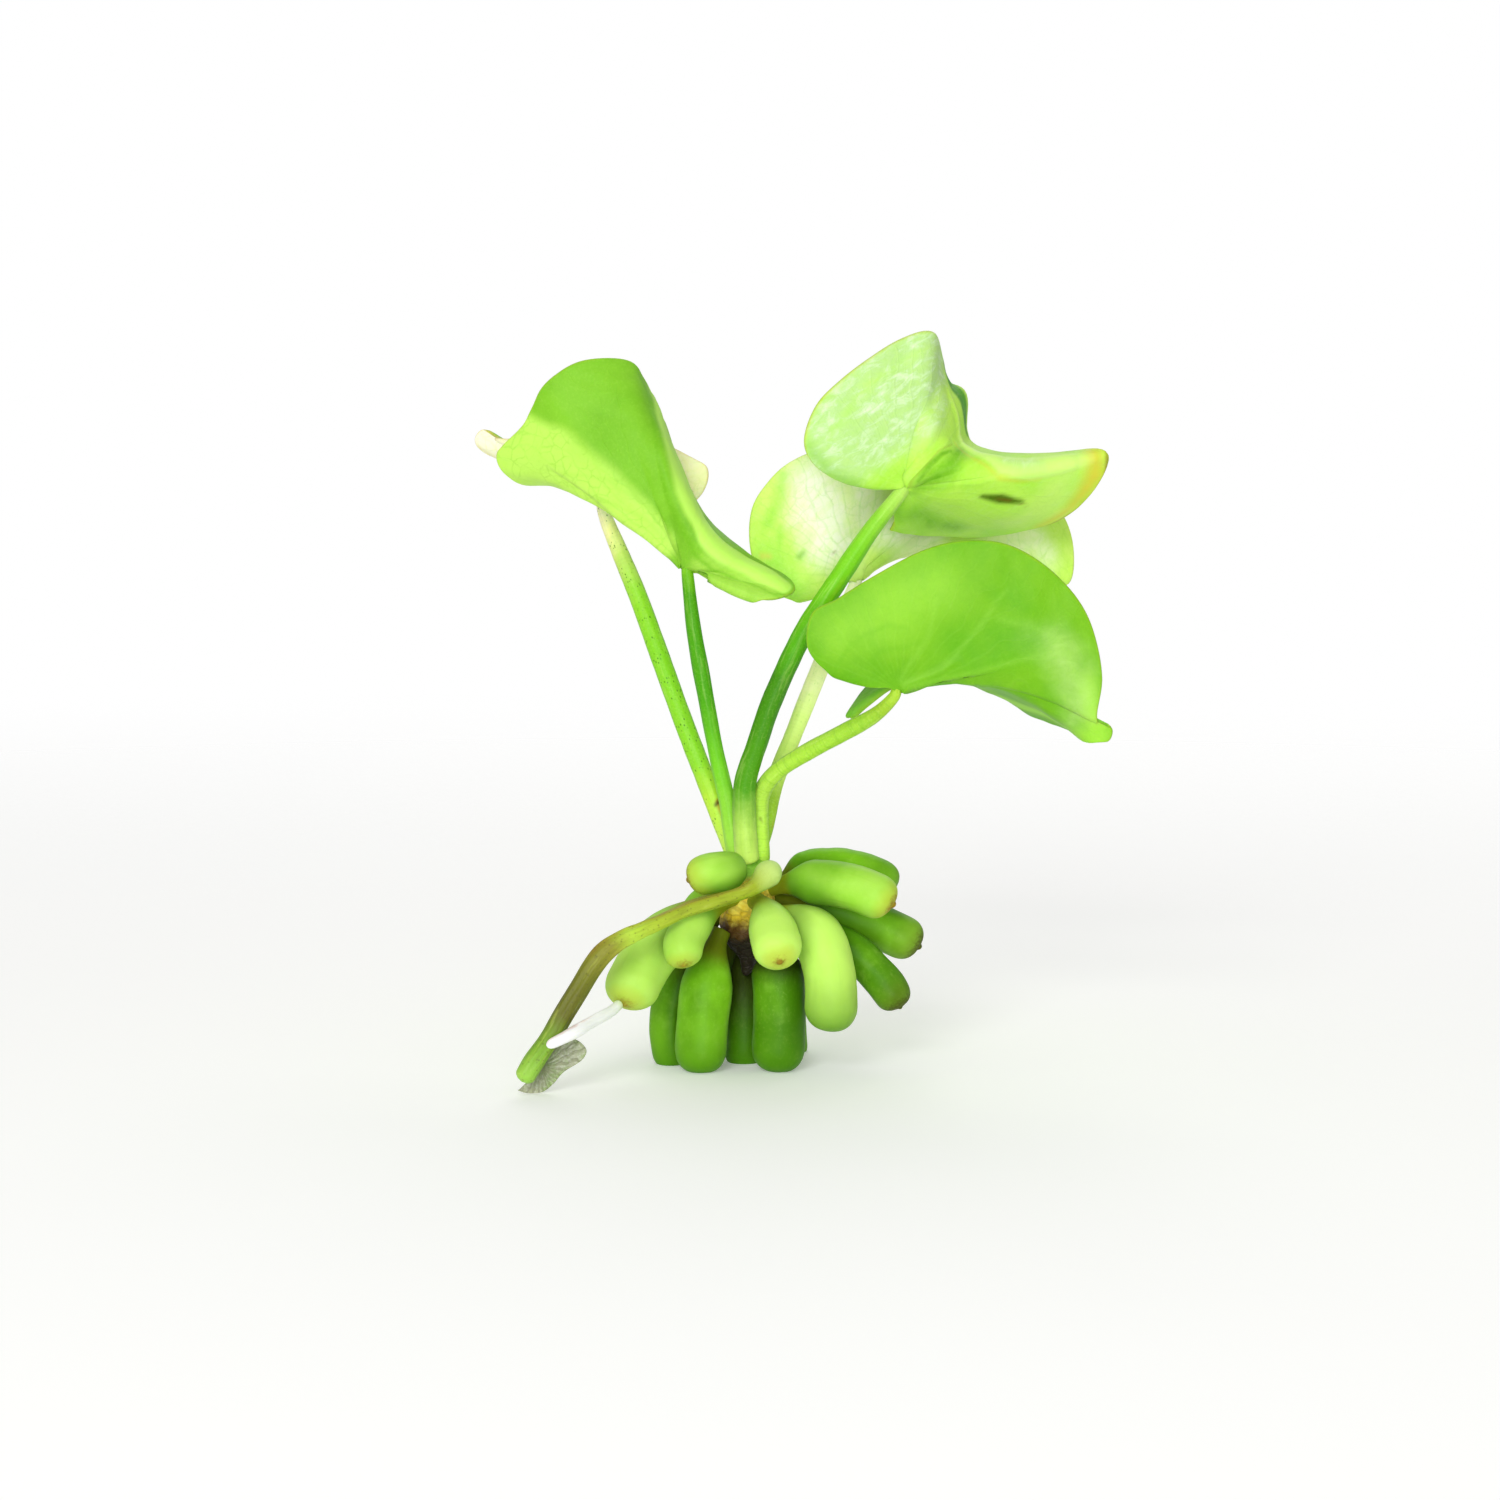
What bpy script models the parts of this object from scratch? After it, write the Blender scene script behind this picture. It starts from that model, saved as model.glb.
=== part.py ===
"""A banana lily, a water plant of the kind sold for aquariums.

A bunch of banana-shaped tubers hangs from a short rootstock. Five leaf stalks rise from its top, each with
a fleshy heart-shaped blade folded along its midrib. A spent stalk trails from the crown to the ground with
a withered sheath at its end, and one young root grows out of a tuber. The plant stands on the tips of its
lowest tubers, which are flattened where they press on the surface.

Metres, +Z up. The origin is on the standing surface, under the middle of the plant.
Places are given in millimetres as (across, up, back), the way the plant is seen from its front: across to
the right and up from a sight line, and back away from the viewer, with the rootstock at back = 0.
"""

import math

import bmesh
import bpy
import numpy as np
from mathutils import Vector

MM = 0.001

# The sight line: it looks slightly down, and meets the rootstock's plane at this point
SIGHT_TILT = math.radians(5)
SIGHT_LENGTH = 450
SIGHT_POINT = (-4.85, -2.95, 45.0)

WELD = 0.00001
GAP = 0.35
BLADE_THICKNESS = 0.8
SHEATH_THICKNESS = 0.5
BLADE_SPANS = 24
BLADE_STEPS = 7
SHEATH_SPANS = 12
SHEATH_STEPS = 3
SPENT_STATIONS = 26
ROOT_STATIONS = 9
CUTTER_SIZE = 120
SWELL = 0.05

# Each blade has the place of its stalk's joint, then its rim from lobe to lobe, clockwise from the front.
# A pair gives the middle of that ray as well, where the blade arches or rolls over.
BLADES = {
    "front_right": {
        "joint": (21.0, 8.9, -14),
        "rim": [
            (14.3, 10.3, -15),
            (10.7, 11.9, -15.5),
            (8.2, 15.0, -16),
            (8.9, 19.6, -16.5),
            (12.4, 21.6, -17),
            (17.4, 24.7, -17.5),
            (24.4, 28.4, -18),
            (30.4, 29.9, -18.5),
            (36.3, 29.5, -18.3),
            (41.4, 26.9, -17.8),
            (45.9, 22.7, -17),
            (48.8, 17.6, -16.2),
            ((35.5, 11.6, -16), (50.2, 10.5, -15)),
            ((35.5, 10.0, -14.5), (49.6, 4.6, -13.5)),
            ((35.6, 9.8, -13.8), (51.7, 3.3, -13)),
            ((35.7, 9.5, -13), (51.2, 1.3, -12.5)),
            ((35.0, 9.6, -12), (48.6, 1.5, -11.5)),
            ((33.5, 9.7, -9.5), (46.0, 3.3, -6)),
            ((30.5, 10.2, -6), (41.0, 5.2, 0)),
            ((28.0, 11.0, -4), (35.5, 8.4, 5)),
            ((24.0, 11.5, -4), (26.5, 11.5, 5)),
            ((20.2, 11.0, -6), (19.0, 11.0, 0)),
            ((18.2, 8.8, -8.8), (13.7, 5.4, -3.5)),
            ((18.6, 8.0, -9.8), (14.3, 4.4, -5)),
        ],
    },
    "front_left": {
        "joint": (-9.0, 26.4, -2),
        "rim": [
            ((-6.6, 25.6, 0.5), (-3.2, 24.0, 3)),
            ((-7.8, 28.0, 3), (-5.0, 28.5, 8)),
            ((-10.2, 32.2, 4), (-11.0, 35.8, 11.5)),
            ((-13.5, 35.0, 4), (-17.0, 40.5, 11)),
            ((-18.0, 36.0, 3), (-24.0, 41.3, 10)),
            ((-20.8, 35.8, 1.8), (-31.0, 37.8, 8)),
            ((-21.8, 35.9, 1), (-34.8, 39.9, 5.5)),
            ((-22.5, 36.1, 0.5), (-36.1, 42.1, 4)),
            ((-23.0, 37.5, -0.5), (-35.1, 43.6, 3)),
            (-32.3, 46.3, 1.5),
            (-30.8, 49.2, 0.5),
            (-29.1, 52.3, -0.5),
            (-25.0, 55.1, -0.5),
            (-20.5, 55.8, 0),
            (-17.0, 55.1, 1.5),
            ((-13.9, 42.3, -3), (-15.4, 52.4, 4)),
            ((-12.8, 42.5, -3), (-13.5, 47.9, 7)),
            ((-10.5, 37.8, -3), (-11.0, 40.9, 9)),
            ((-8.1, 33.0, -3.2), (-8.0, 34.5, 9)),
            ((-5.8, 29.9, -3.5), (-5.0, 30.9, 8)),
            ((-2.8, 26.8, -4), (-0.3, 27.3, 4)),
            ((-1.2, 25.4, -4), (4.9, 24.3, -1.5)),
            (6.3, 22.4, -4),
            (2.9, 21.3, -5),
            (-0.8, 22.4, -4.5),
            (-4.8, 25.2, -3),
        ],
    },
    "upper_right": {
        "joint": (22.1, 37.9, -8),
        "rim": [
            (17.4, 38.0, -9),
            (12.6, 39.1, -10.5),
            (8.9, 41.3, -12),
            (7.7, 44.5, -13),
            (9.4, 49.3, -13.8),
            (12.9, 52.9, -13.8),
            (17.1, 56.1, -13.2),
            (21.4, 58.7, -12),
            (25.7, 59.8, -10.5),
            ((25.0, 48.0, -10), (26.7, 56.3, -3)),
            ((26.4, 47.2, -9.5), (28.1, 52.3, 2.5)),
            ((26.8, 45.4, -8.9), (30.2, 50.6, 4.5)),
            ((27.6, 43.4, -8.4), (30.4, 45.6, 6)),
            ((28.6, 42.2, -8.2), (31.6, 43.2, 6)),
            ((30.3, 41.2, -8.2), (35.2, 41.8, 3)),
            ((33.0, 40.6, -8), (42.9, 41.6, -1)),
            (50.0, 42.6, -5.5),
            (51.0, 41.2, -5),
            (48.6, 37.2, -2),
            (44.4, 33.5, 1.5),
            (38.6, 31.7, 4.5),
            (32.9, 31.1, 6),
            (27.0, 31.1, 4.5),
            ((21.9, 34.3, -4.5), (22.6, 31.3, 1)),
            ((21.3, 34.8, -3.8), (19.8, 31.6, -1.2)),
        ],
    },
    "back_right": {
        "joint": (15.3, 24.7, 8),
        "rim": [
            (11.0, 24.0, 7.8),
            (5.9, 21.6, 8),
            (1.6, 24.5, 8.5),
            (0.0, 29.3, 9),
            (0.3, 34.3, 9.5),
            (2.4, 38.0, 10),
            (6.0, 41.2, 10.5),
            (11.0, 43.0, 12),
            (18.5, 44.0, 14),
            (27.0, 43.0, 16),
            ((26.5, 33.5, 11.5), (36.0, 39.3, 17)),
            ((29.3, 33.0, 11.2), (43.0, 35.3, 16)),
            ((30.4, 31.7, 11), (45.9, 29.5, 14.5)),
            ((28.2, 29.0, 11.6), (45.6, 24.0, 14)),
            ((28.4, 31.4, 13.2), (41.5, 26.5, 20)),
            ((26.8, 32.4, 15.5), (35.0, 30.0, 26)),
            ((21.5, 30.5, 16), (25.0, 31.5, 28)),
            ((15.5, 29.0, 15.5), (14.5, 31.5, 24)),
            ((12.5, 27.0, 13), (7.5, 28.0, 18)),
            ((13.0, 25.9, 11), (9.5, 25.5, 13)),
        ],
    },
    "back_left": {
        "joint": (-21.3, 37.0, 14.5),
        "rim": [
            (-12.0, 38.5, 20),
            (-13.0, 40.0, 26),
            (-18.0, 42.0, 30),
            (-26.0, 42.0, 31),
            (-33.0, 42.0, 28),
            (-37.4, 43.0, 25),
            (-38.9, 44.6, 23),
            (-37.6, 45.8, 22),
            (-35.7, 44.6, 20),
            (-32.0, 44.8, 18),
            (-26.0, 47.0, 18),
            (-18.0, 46.5, 18),
            (-12.0, 43.5, 16),
            (-7.8, 41.3, 14),
            (-6.1, 40.2, 13.5),
            (-6.2, 38.0, 13.5),
            (-7.6, 36.0, 13.6),
            (-10.3, 35.8, 14),
        ],
    },
}

# The withered sheath hangs from the spent stalk like a small torn blade
SHEATH = {
    "joint": (-29.9, -45.2, -19.0),
    "rim": [
        (-29.3, -42.8, -18.6),
        (-27.3, -41.9, -19.0),
        (-25.1, -41.3, -19.5),
        (-23.4, -42.7, -20.0),
        (-23.9, -44.2, -20.3),
        (-26.6, -46.0, -20.0),
        (-28.0, -47.6, -19.6),
        (-29.6, -48.8, -19.5),
        (-31.6, -49.0, -19.6),
        (-33.2, -48.6, -19.9),
    ],
}

# Each stalk's radius and its route from the rootstock up to its blade
STALKS = {
    "front_left": {
        "radius": 1.15,
        "route": [
            (-2.0, -14.4, -0.6),
            (-2.7, -10.5, -0.7),
            (-3.3, -7.1, -0.8),
            (-4.9, 0.0, -1.1),
            (-6.5, 8.6, -1.7),
            (-8.0, 17.1, -2.2),
            (-8.9, 24.9, -2.2),
        ],
    },
    "back_left": {
        "radius": 1.4,
        "route": [
            (-2.3, -14.4, 2.0),
            (-4.2, -9.6, 3.1),
            (-6.3, -4.3, 4.2),
            (-9.6, 4.3, 6.2),
            (-13.2, 14.3, 9.0),
            (-16.0, 22.0, 11.2),
            (-18.6, 28.3, 13),
            (-20.7, 33.5, 14),
            (-21.3, 35.9, 14.3),
        ],
    },
    "upper_right": {
        "radius": 1.45,
        "route": [
            (-0.5, -14.4, -3.0),
            (-0.8, -9.0, -3.3),
            (-0.6, -4.3, -3.8),
            (1.2, 1.4, -4.8),
            (3.3, 7.4, -5.6),
            (7.5, 16.4, -6.6),
            (12.6, 24.3, -7.4),
            (17.1, 31.1, -8),
            (21.0, 36.1, -8.3),
        ],
    },
    "back_right": {
        "radius": 1.3,
        "route": [
            (1.0, -14.4, 1.8),
            (2.1, -10.6, 2.1),
            (3.4, -5.0, 2.8),
            (5.9, 1.4, 4.2),
            (9.0, 9.2, 5.6),
            (12.2, 17.0, 7.2),
            (14.9, 23.3, 8.0),
        ],
    },
    "front_right": {
        "radius": 1.2,
        "route": [
            (1.3, -14.4, -0.8),
            (1.2, -9.6, -0.8),
            (1.7, -6.0, -1.9),
            (4.1, -2.9, -4.2),
            (8.5, -0.1, -7.4),
            (13.2, 2.4, -10.4),
            (17.7, 4.9, -12.8),
            (20.4, 7.4, -14.2),
        ],
    },
}

STALK_STATIONS = 14
STALK_FOOT_RADIUS = 1.12
STALK_TOP_SHARE = 0.65
STALK_TAPER = 0.3

# The rootstock is a turned stub that the stalks and tubers grow from
ROOTSTOCK_AT = (-0.2, -21.0, 0.0)
ROOTSTOCK_PROFILE = [
    (0.0, -11.0),
    (0.9, -10.7),
    (1.3, -9.4),
    (2.3, -7.5),
    (3.6, -5.2),
    (3.9, -1.5),
    (3.6, 2.0),
    (3.1, 4.2),
    (2.2, 5.6),
    (0.0, 6.0),
]
ROOTSTOCK_RADIUS = 3.9
ROOTSTOCK_STATIONS = 13
ROOTSTOCK_TURNS = 14

# Each tuber: the height it leaves the rootstock at, its middle, its tip and its radius
TUBERS = {
    "left_upper": (-17.6, (-4.6, -17.4, -8.2), (-9.1, -18.7, -8.7), 2.85),
    "left_front": (-21.5, (-12.8, -27.5, -6.0), (-18.0, -36.6, -12.0), 3.9),
    "left_small": (-21.5, (-8.4, -25.4, -11.2), (-9.4, -31.0, -15.8), 2.75),
    "left_low": (-27.2, (-10.8, -34.9, 1.8), (-10.6, -45.4, 2.2), 2.9),
    "front_low": (-26.6, (-6.3, -34.5, -3.5), (-7.1, -46.2, -4.0), 3.7),
    "middle_low": (-28.0, (-0.8, -36.0, 3.5), (-0.8, -45.4, 4.0), 3.0),
    "right_low": (-27.2, (3.9, -35.5, -3.5), (3.6, -46.0, -3.2), 3.7),
    "front_middle": (-21.8, (2.9, -24.7, -10.0), (4.3, -30.5, -16.5), 3.45),
    "right_front": (-23.4, (10.5, -27.9, -7.7), (11.6, -40.1, -8.0), 3.65),
    "right_side": (-19.4, (12.7, -18.8, -6.0), (20.8, -22.1, -8.5), 3.35),
    "right_upper": (-19.0, (12.4, -16.8, 3.0), (20.9, -19.8, 4.0), 2.9),
    "right_end": (-21.7, (15.2, -24.0, 2.8), (24.5, -28.3, 3.2), 3.2),
    "right_lower": (-24.5, (14.4, -28.6, -1.6), (21.6, -37.0, -3.0), 2.7),
    "back_left": (-18.3, (-7.0, -23.0, 9.6), (-11.0, -30.5, 15.8), 2.8),
    "back_side": (-23.3, (-8.9, -29.0, 6.2), (-11.9, -37.2, 9.2), 2.5),
    "back_middle": (-20.5, (0.6, -22.5, 10), (0.4, -29.5, 18), 3.1),
    "back_right": (-20.5, (8.0, -22.5, 9), (12.0, -29.5, 15.5), 3.3),
    "back_low": (-26.5, (4.7, -34.5, 9.5), (5.5, -44.6, 12.5), 2.8),
    "back_low_left": (-25.5, (-4.8, -34.2, 11.0), (-6.2, -44.5, 15.0), 2.9),
}
FEET = ("left_low", "front_low", "middle_low", "right_low", "back_low", "back_low_left")
NECK_SHARE = 0.36
NECK_LENGTH = 0.5
NECK_LENGTHS = {"left_upper": 0.22, "right_upper": 0.22, "right_side": 0.3, "front_middle": 0.7}
NECK_OVERHANG = 0.5
BLUNTNESS = 2.4
TIP_SHARE = 0.28
TUBER_STATIONS = (0.0, 0.08, 0.2, 0.36, 0.54, 0.72, 0.85, 0.93, 0.98, 1.0)

# The spent stalk, from its knob on the crown to its end on the ground, with its radius at each place
SPENT_STALK = [
    (3.9, -17.0, -6.3, 1.0),
    (2.8, -17.8, -8.0, 1.75),
    (1.0, -19.3, -9.8, 1.35),
    (-1.4, -20.5, -11.6, 1.15),
    (-5.5, -21.8, -13.8, 1.2),
    (-9.1, -22.9, -15.2, 1.25),
    (-12.8, -24.6, -16.8, 1.25),
    (-15.6, -25.8, -17.8, 1.3),
    (-18.5, -27.2, -18.8, 1.45),
    (-20.8, -28.9, -19.4, 1.6),
    (-22.6, -31.1, -19.8, 1.65),
    (-24.5, -34.2, -20.0, 1.6),
    (-26.5, -37.5, -20.4, 1.55),
    (-28.6, -41.2, -21.0, 1.5),
    (-30.9, -44.6, -21.6, 1.6),
    (-32.6, -47.4, -22.2, 1.5),
]
YOUNG_ROOT = [
    (-19.8, -37.3, -14.0, 0.8),
    (-22.3, -38.7, -18.0, 0.95),
    (-25.6, -40.6, -22.5, 0.95),
    (-29.0, -42.3, -25.2, 0.7),
]


def sighted(across, up, back):
    """The place of a point seen (across, up) millimetres from the sight line, so far back."""
    spread = 1 + back / SIGHT_LENGTH
    x, y, z = SIGHT_POINT
    y += up * spread * math.sin(SIGHT_TILT) + back * math.cos(SIGHT_TILT)
    z += up * spread * math.cos(SIGHT_TILT) - back * math.sin(SIGHT_TILT)
    return Vector((x + across * spread, y, z)) * MM


def smooth_through(points, count):
    """Evenly spaced places on a smooth curve that passes through every point (Catmull-Rom)."""
    points = np.array(points, float)
    padded = np.vstack([2 * points[0] - points[1], points, 2 * points[-1] - points[-2]])
    place = np.linspace(0, len(points) - 1, count)
    step = np.minimum(place.astype(int), len(points) - 2)
    t = (place - step)[:, None]
    a, b, c, d = (padded[step + k] for k in range(4))
    return 0.5 * (2 * b + (c - a) * t + (2 * a - 5 * b + 4 * c - d) * t**2 + (3 * b - a - 3 * c + d) * t**3)


def plain_material(name, colour, roughness):
    material = bpy.data.materials.new(name)
    material.use_nodes = True
    shader = material.node_tree.nodes["Principled BSDF"]
    shader.inputs["Base Color"].default_value = (*colour, 1)
    shader.inputs["Roughness"].default_value = roughness
    shader.inputs["Metallic"].default_value = 0
    return material


def add_object(name, data, collection, material):
    thing = bpy.data.objects.new(name, data)
    thing.data.materials.append(material)
    collection.objects.link(thing)
    return thing


def tube(name, points, radii, collection, material, bevel_steps=2):
    """A closed round tube along points, in millimetres, with its own radius at each."""
    curve = bpy.data.curves.new(name, "CURVE")
    curve.dimensions = "3D"
    curve.bevel_depth = MM
    curve.bevel_resolution = bevel_steps
    curve.use_fill_caps = True
    spline = curve.splines.new("POLY")
    spline.points.add(len(points) - 1)
    for point, place, radius in zip(spline.points, points, radii):
        point.co = (*place, 1)
        point.radius = radius
    return add_object(name, curve, collection, material)


def as_mesh(curve_object, collection):
    """The curve's tube as a mesh with its caps welded on."""
    graph = bpy.context.evaluated_depsgraph_get()
    mesh = bpy.data.meshes.new_from_object(curve_object.evaluated_get(graph))
    shape = bmesh.new()
    shape.from_mesh(mesh)
    bmesh.ops.remove_doubles(shape, verts=shape.verts, dist=WELD)
    shape.to_mesh(mesh)
    shape.free()
    name = curve_object.name
    made = bpy.data.objects.new(name + "_mesh", mesh)
    made.matrix_world = curve_object.matrix_world
    collection.objects.link(made)
    bpy.data.objects.remove(curve_object)
    made.name = name
    return made


def blade_grid(blade, spans, steps):
    """The blade's places on a grid of rays from the joint (first axis) and steps along each."""
    joint = np.array(sighted(*blade["joint"]))
    middles, rims = [], []
    for ray in blade["rim"]:
        if len(ray) == 2:
            middle, rim = ray
            middle = np.array(sighted(*middle))
            rim = np.array(sighted(*rim))
        else:
            rim = np.array(sighted(*ray))
            swell = SWELL * np.linalg.norm(rim - joint)
            middle = (joint + rim) / 2 - np.array((0, swell, swell / 2))
        middles.append(middle)
        rims.append(rim)
    middles = smooth_through(middles, spans + 1)[:, None]
    rims = smooth_through(rims, spans + 1)[:, None]
    r = np.linspace(0, 1, steps + 1)[None, :, None]
    return joint * (1 - r) * (1 - 2 * r) + middles * 4 * r * (1 - r) + rims * r * (2 * r - 1)


def make_blade(name, blade, spans, steps, thickness, collection, material):
    """A heart-shaped blade: rays of the grid joined by faces, and thickened."""
    grid = blade_grid(blade, spans, steps)
    shape = bmesh.new()
    joint = shape.verts.new(grid[0, 0])
    rays = [[joint] + [shape.verts.new(place) for place in ray[1:]] for ray in grid]
    for one, other in zip(rays, rays[1:]):
        shape.faces.new((joint, one[1], other[1]))
        for step in range(1, steps):
            shape.faces.new((one[step], one[step + 1], other[step + 1], other[step]))
    mesh = bpy.data.meshes.new(name)
    shape.to_mesh(mesh)
    shape.free()
    mesh.shade_smooth()
    thing = add_object(name, mesh, collection, material)
    solid = thing.modifiers.new("thickness", "SOLIDIFY")
    solid.thickness = thickness * MM
    solid.offset = -1
    return thing


def tuber_shape(tuber, neck_length):
    """A tuber's spine and its radius at each station, from a narrow neck to a blunt tip."""
    height, middle, tip, radius = tuber
    axis_across, _, axis_back = ROOTSTOCK_AT
    out = np.array((middle[0] - axis_across, middle[2] - axis_back))
    out = out / np.linalg.norm(out) * (ROOTSTOCK_RADIUS + GAP + NECK_OVERHANG)
    root = np.array(sighted(axis_across + out[0], height, axis_back + out[1]))
    middle = np.array(sighted(*middle))
    tip = np.array(sighted(*tip))
    t = np.array(TUBER_STATIONS)[:, None]
    spine = root * (1 - t) * (1 - 2 * t) + middle * 4 * t * (1 - t) + tip * t * (2 * t - 1)
    t = t[:, 0]
    along = np.concatenate([[0], np.cumsum(np.linalg.norm(np.diff(spine, axis=0), axis=1))]) / MM
    grown = np.clip(t / neck_length, 0, 1)
    grown = grown * grown * (3 - 2 * grown)
    swollen = NECK_SHARE + (1 - NECK_SHARE) * grown
    left = np.clip((along[-1] - along) / radius, 0, 1)
    rounded = (1 - (1 - left) ** BLUNTNESS) ** (1 / BLUNTNESS)
    return spine, np.maximum(radius * swollen * rounded, TIP_SHARE * radius)


def floor_cutter(collection):
    """A box under the standing surface, which flattens the feet."""
    mesh = bpy.data.meshes.new("floor_cutter")
    shape = bmesh.new()
    bmesh.ops.create_cube(shape, size=CUTTER_SIZE * MM)
    bmesh.ops.translate(shape, verts=shape.verts, vec=(0, 0, -CUTTER_SIZE / 2 * MM))
    shape.to_mesh(mesh)
    shape.free()
    cutter = bpy.data.objects.new("floor_cutter", mesh)
    collection.objects.link(cutter)
    cutter.hide_render = True
    cutter.display_type = "WIRE"
    return cutter


def make_tubers(collection, cutter, material):
    for name, tuber in TUBERS.items():
        spine, radii = tuber_shape(tuber, NECK_LENGTHS.get(name, NECK_LENGTH))
        made = tube("tuber_" + name, spine, radii, collection, material, bevel_steps=3)
        if name in FEET:
            made = as_mesh(made, collection)
            cut = made.modifiers.new("flat_foot", "BOOLEAN")
            cut.operation = "DIFFERENCE"
            cut.object = cutter


def make_rootstock(collection, material):
    """A turned stub: its profile, given as radius and height, runs round the upright axis."""
    curve_points = smooth_through([(*point, 0) for point in ROOTSTOCK_PROFILE], ROOTSTOCK_STATIONS)[::-1]
    mesh = bpy.data.meshes.new("rootstock")
    places = [(max(x, 0) * MM, 0, z * MM) for x, z, _ in curve_points]
    mesh.from_pydata(places, [(i, i + 1) for i in range(len(places) - 1)], [])
    stub = add_object("rootstock", mesh, collection, material)
    stub.location = sighted(*ROOTSTOCK_AT)
    turn = stub.modifiers.new("turned", "SCREW")
    turn.steps = turn.render_steps = ROOTSTOCK_TURNS
    turn.use_merge_vertices = True
    turn.merge_threshold = WELD
    return stub


def make_stalks(collection, material):
    for name, stalk in STALKS.items():
        places = smooth_through([sighted(*place) for place in stalk["route"]], STALK_STATIONS)
        share = np.linspace(0, 1, STALK_STATIONS)
        foot = STALK_FOOT_RADIUS / stalk["radius"]
        from_foot = foot + (1 - foot) * share / STALK_TAPER
        from_top = STALK_TOP_SHARE + (1 - STALK_TOP_SHARE) * (1 - share) / STALK_TAPER
        radii = stalk["radius"] * np.minimum(1, np.minimum(from_foot, from_top))
        tube("stalk_" + name, places, radii, collection, material)


def make_trailing(name, stations, count, collection, material):
    """A round stem whose stations hold (across, up, back, radius)."""
    rows = [(*sighted(*station[:3]), station[3]) for station in stations]
    rows = smooth_through(rows, count)
    return tube(name, rows[:, :3], rows[:, 3], collection, material)


def main():
    for thing in list(bpy.data.objects):
        bpy.data.objects.remove(thing)
    plant = bpy.data.collections.new("banana_lily")
    cutters = bpy.data.collections.new("cutters")
    bpy.context.scene.collection.children.link(plant)
    bpy.context.scene.collection.children.link(cutters)

    leaf_green = plain_material("leaf_green", (0.30, 0.60, 0.08), 0.42)
    leaf_pale = plain_material("leaf_pale", (0.72, 0.78, 0.38), 0.45)
    stalk_green = plain_material("stalk_green", (0.22, 0.56, 0.05), 0.4)
    tuber_green = plain_material("tuber_green", (0.25, 0.52, 0.06), 0.38)
    crown_ochre = plain_material("crown_ochre", (0.45, 0.33, 0.08), 0.6)
    spent_olive = plain_material("spent_olive", (0.25, 0.30, 0.06), 0.55)
    withered_grey = plain_material("withered_grey", (0.42, 0.46, 0.32), 0.5)
    root_white = plain_material("root_white", (0.90, 0.92, 0.86), 0.35)

    for name, blade in BLADES.items():
        tissue = leaf_pale if name == "back_left" else leaf_green
        make_blade("leaf_" + name, blade, BLADE_SPANS, BLADE_STEPS, BLADE_THICKNESS, plant, tissue)
    make_stalks(plant, stalk_green)
    make_rootstock(plant, crown_ochre)
    make_tubers(plant, floor_cutter(cutters), tuber_green)
    make_trailing("spent_stalk", SPENT_STALK, SPENT_STATIONS, plant, spent_olive)
    make_trailing("young_root", YOUNG_ROOT, ROOT_STATIONS, plant, root_white)
    make_blade("withered_sheath", SHEATH, SHEATH_SPANS, SHEATH_STEPS, SHEATH_THICKNESS, plant, withered_grey)


if __name__ == "__main__":
    main()
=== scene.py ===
# A banana lily: a water plant that stands on a bunch of banana-shaped tubers. Five folded heart-shaped
# blades rise on slender stalks, and a spent stalk trails to the ground with a withered sheath.
# Places are millimetres (across, up, back) from a sight line that looks at the plant's front, and
# colours are six hex digits, as a paint chart gives them.
import math

import bpy
import numpy as np
from mathutils import Matrix


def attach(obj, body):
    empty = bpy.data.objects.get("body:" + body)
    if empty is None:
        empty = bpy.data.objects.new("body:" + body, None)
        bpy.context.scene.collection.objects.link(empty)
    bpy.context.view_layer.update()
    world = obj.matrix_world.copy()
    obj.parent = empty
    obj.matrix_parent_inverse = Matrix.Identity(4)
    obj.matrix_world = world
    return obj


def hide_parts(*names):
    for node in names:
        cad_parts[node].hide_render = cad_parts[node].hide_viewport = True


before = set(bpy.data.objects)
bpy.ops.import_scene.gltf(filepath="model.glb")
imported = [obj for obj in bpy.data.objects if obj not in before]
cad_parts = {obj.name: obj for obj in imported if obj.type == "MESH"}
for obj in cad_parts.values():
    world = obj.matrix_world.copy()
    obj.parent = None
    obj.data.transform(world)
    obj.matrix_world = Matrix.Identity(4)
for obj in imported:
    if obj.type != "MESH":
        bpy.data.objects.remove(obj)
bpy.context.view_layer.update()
print("banana lily: solids loaded")

mm = 0.001
sight = {"tilt": math.radians(5), "length": 450, "point": (-4.85, -2.95, 45), "pixelsPerMm": 7,
         "imageSize": 1500}


def sighted(places):
    # x = point + across * spread; y and z turn (up * spread, back) by the tilt; spread = 1 + back / length
    across, up, back = np.moveaxis(np.asarray(places, float), -1, 0)
    spread = 1 + back / sight["length"]
    s, c = math.sin(sight["tilt"]), math.cos(sight["tilt"])
    x = sight["point"][0] + across * spread
    y = sight["point"][1] + up * spread * s + back * c
    z = sight["point"][2] + up * spread * c - back * s
    return np.stack([x, y, z], -1) * mm


def smoothThrough(points, places):
    # Catmull-Rom: the smooth curve through every point, read at places from 0 to the last point's number
    points = np.asarray(points, float)
    padded = np.concatenate([[2 * points[0] - points[1]], points, [2 * points[-1] - points[-2]]])
    step = np.minimum(places.astype(int), len(points) - 2)
    t = (places - step).reshape(-1, *[1] * (points.ndim - 1))
    a, b, c, d = (padded[step + k] for k in range(4))
    return 0.5 * (2 * b + (c - a) * t + (2 * a - 5 * b + 4 * c - d) * t**2 + (3 * b - a - 3 * c + d) * t**3)


def ease(x, low=0.0, high=1.0):
    # 0 below low, 1 above high, and 3t^2 - 2t^3 between them
    t = np.clip((x - low) / (high - low), 0, 1)
    return t * t * (3 - 2 * t)


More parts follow.
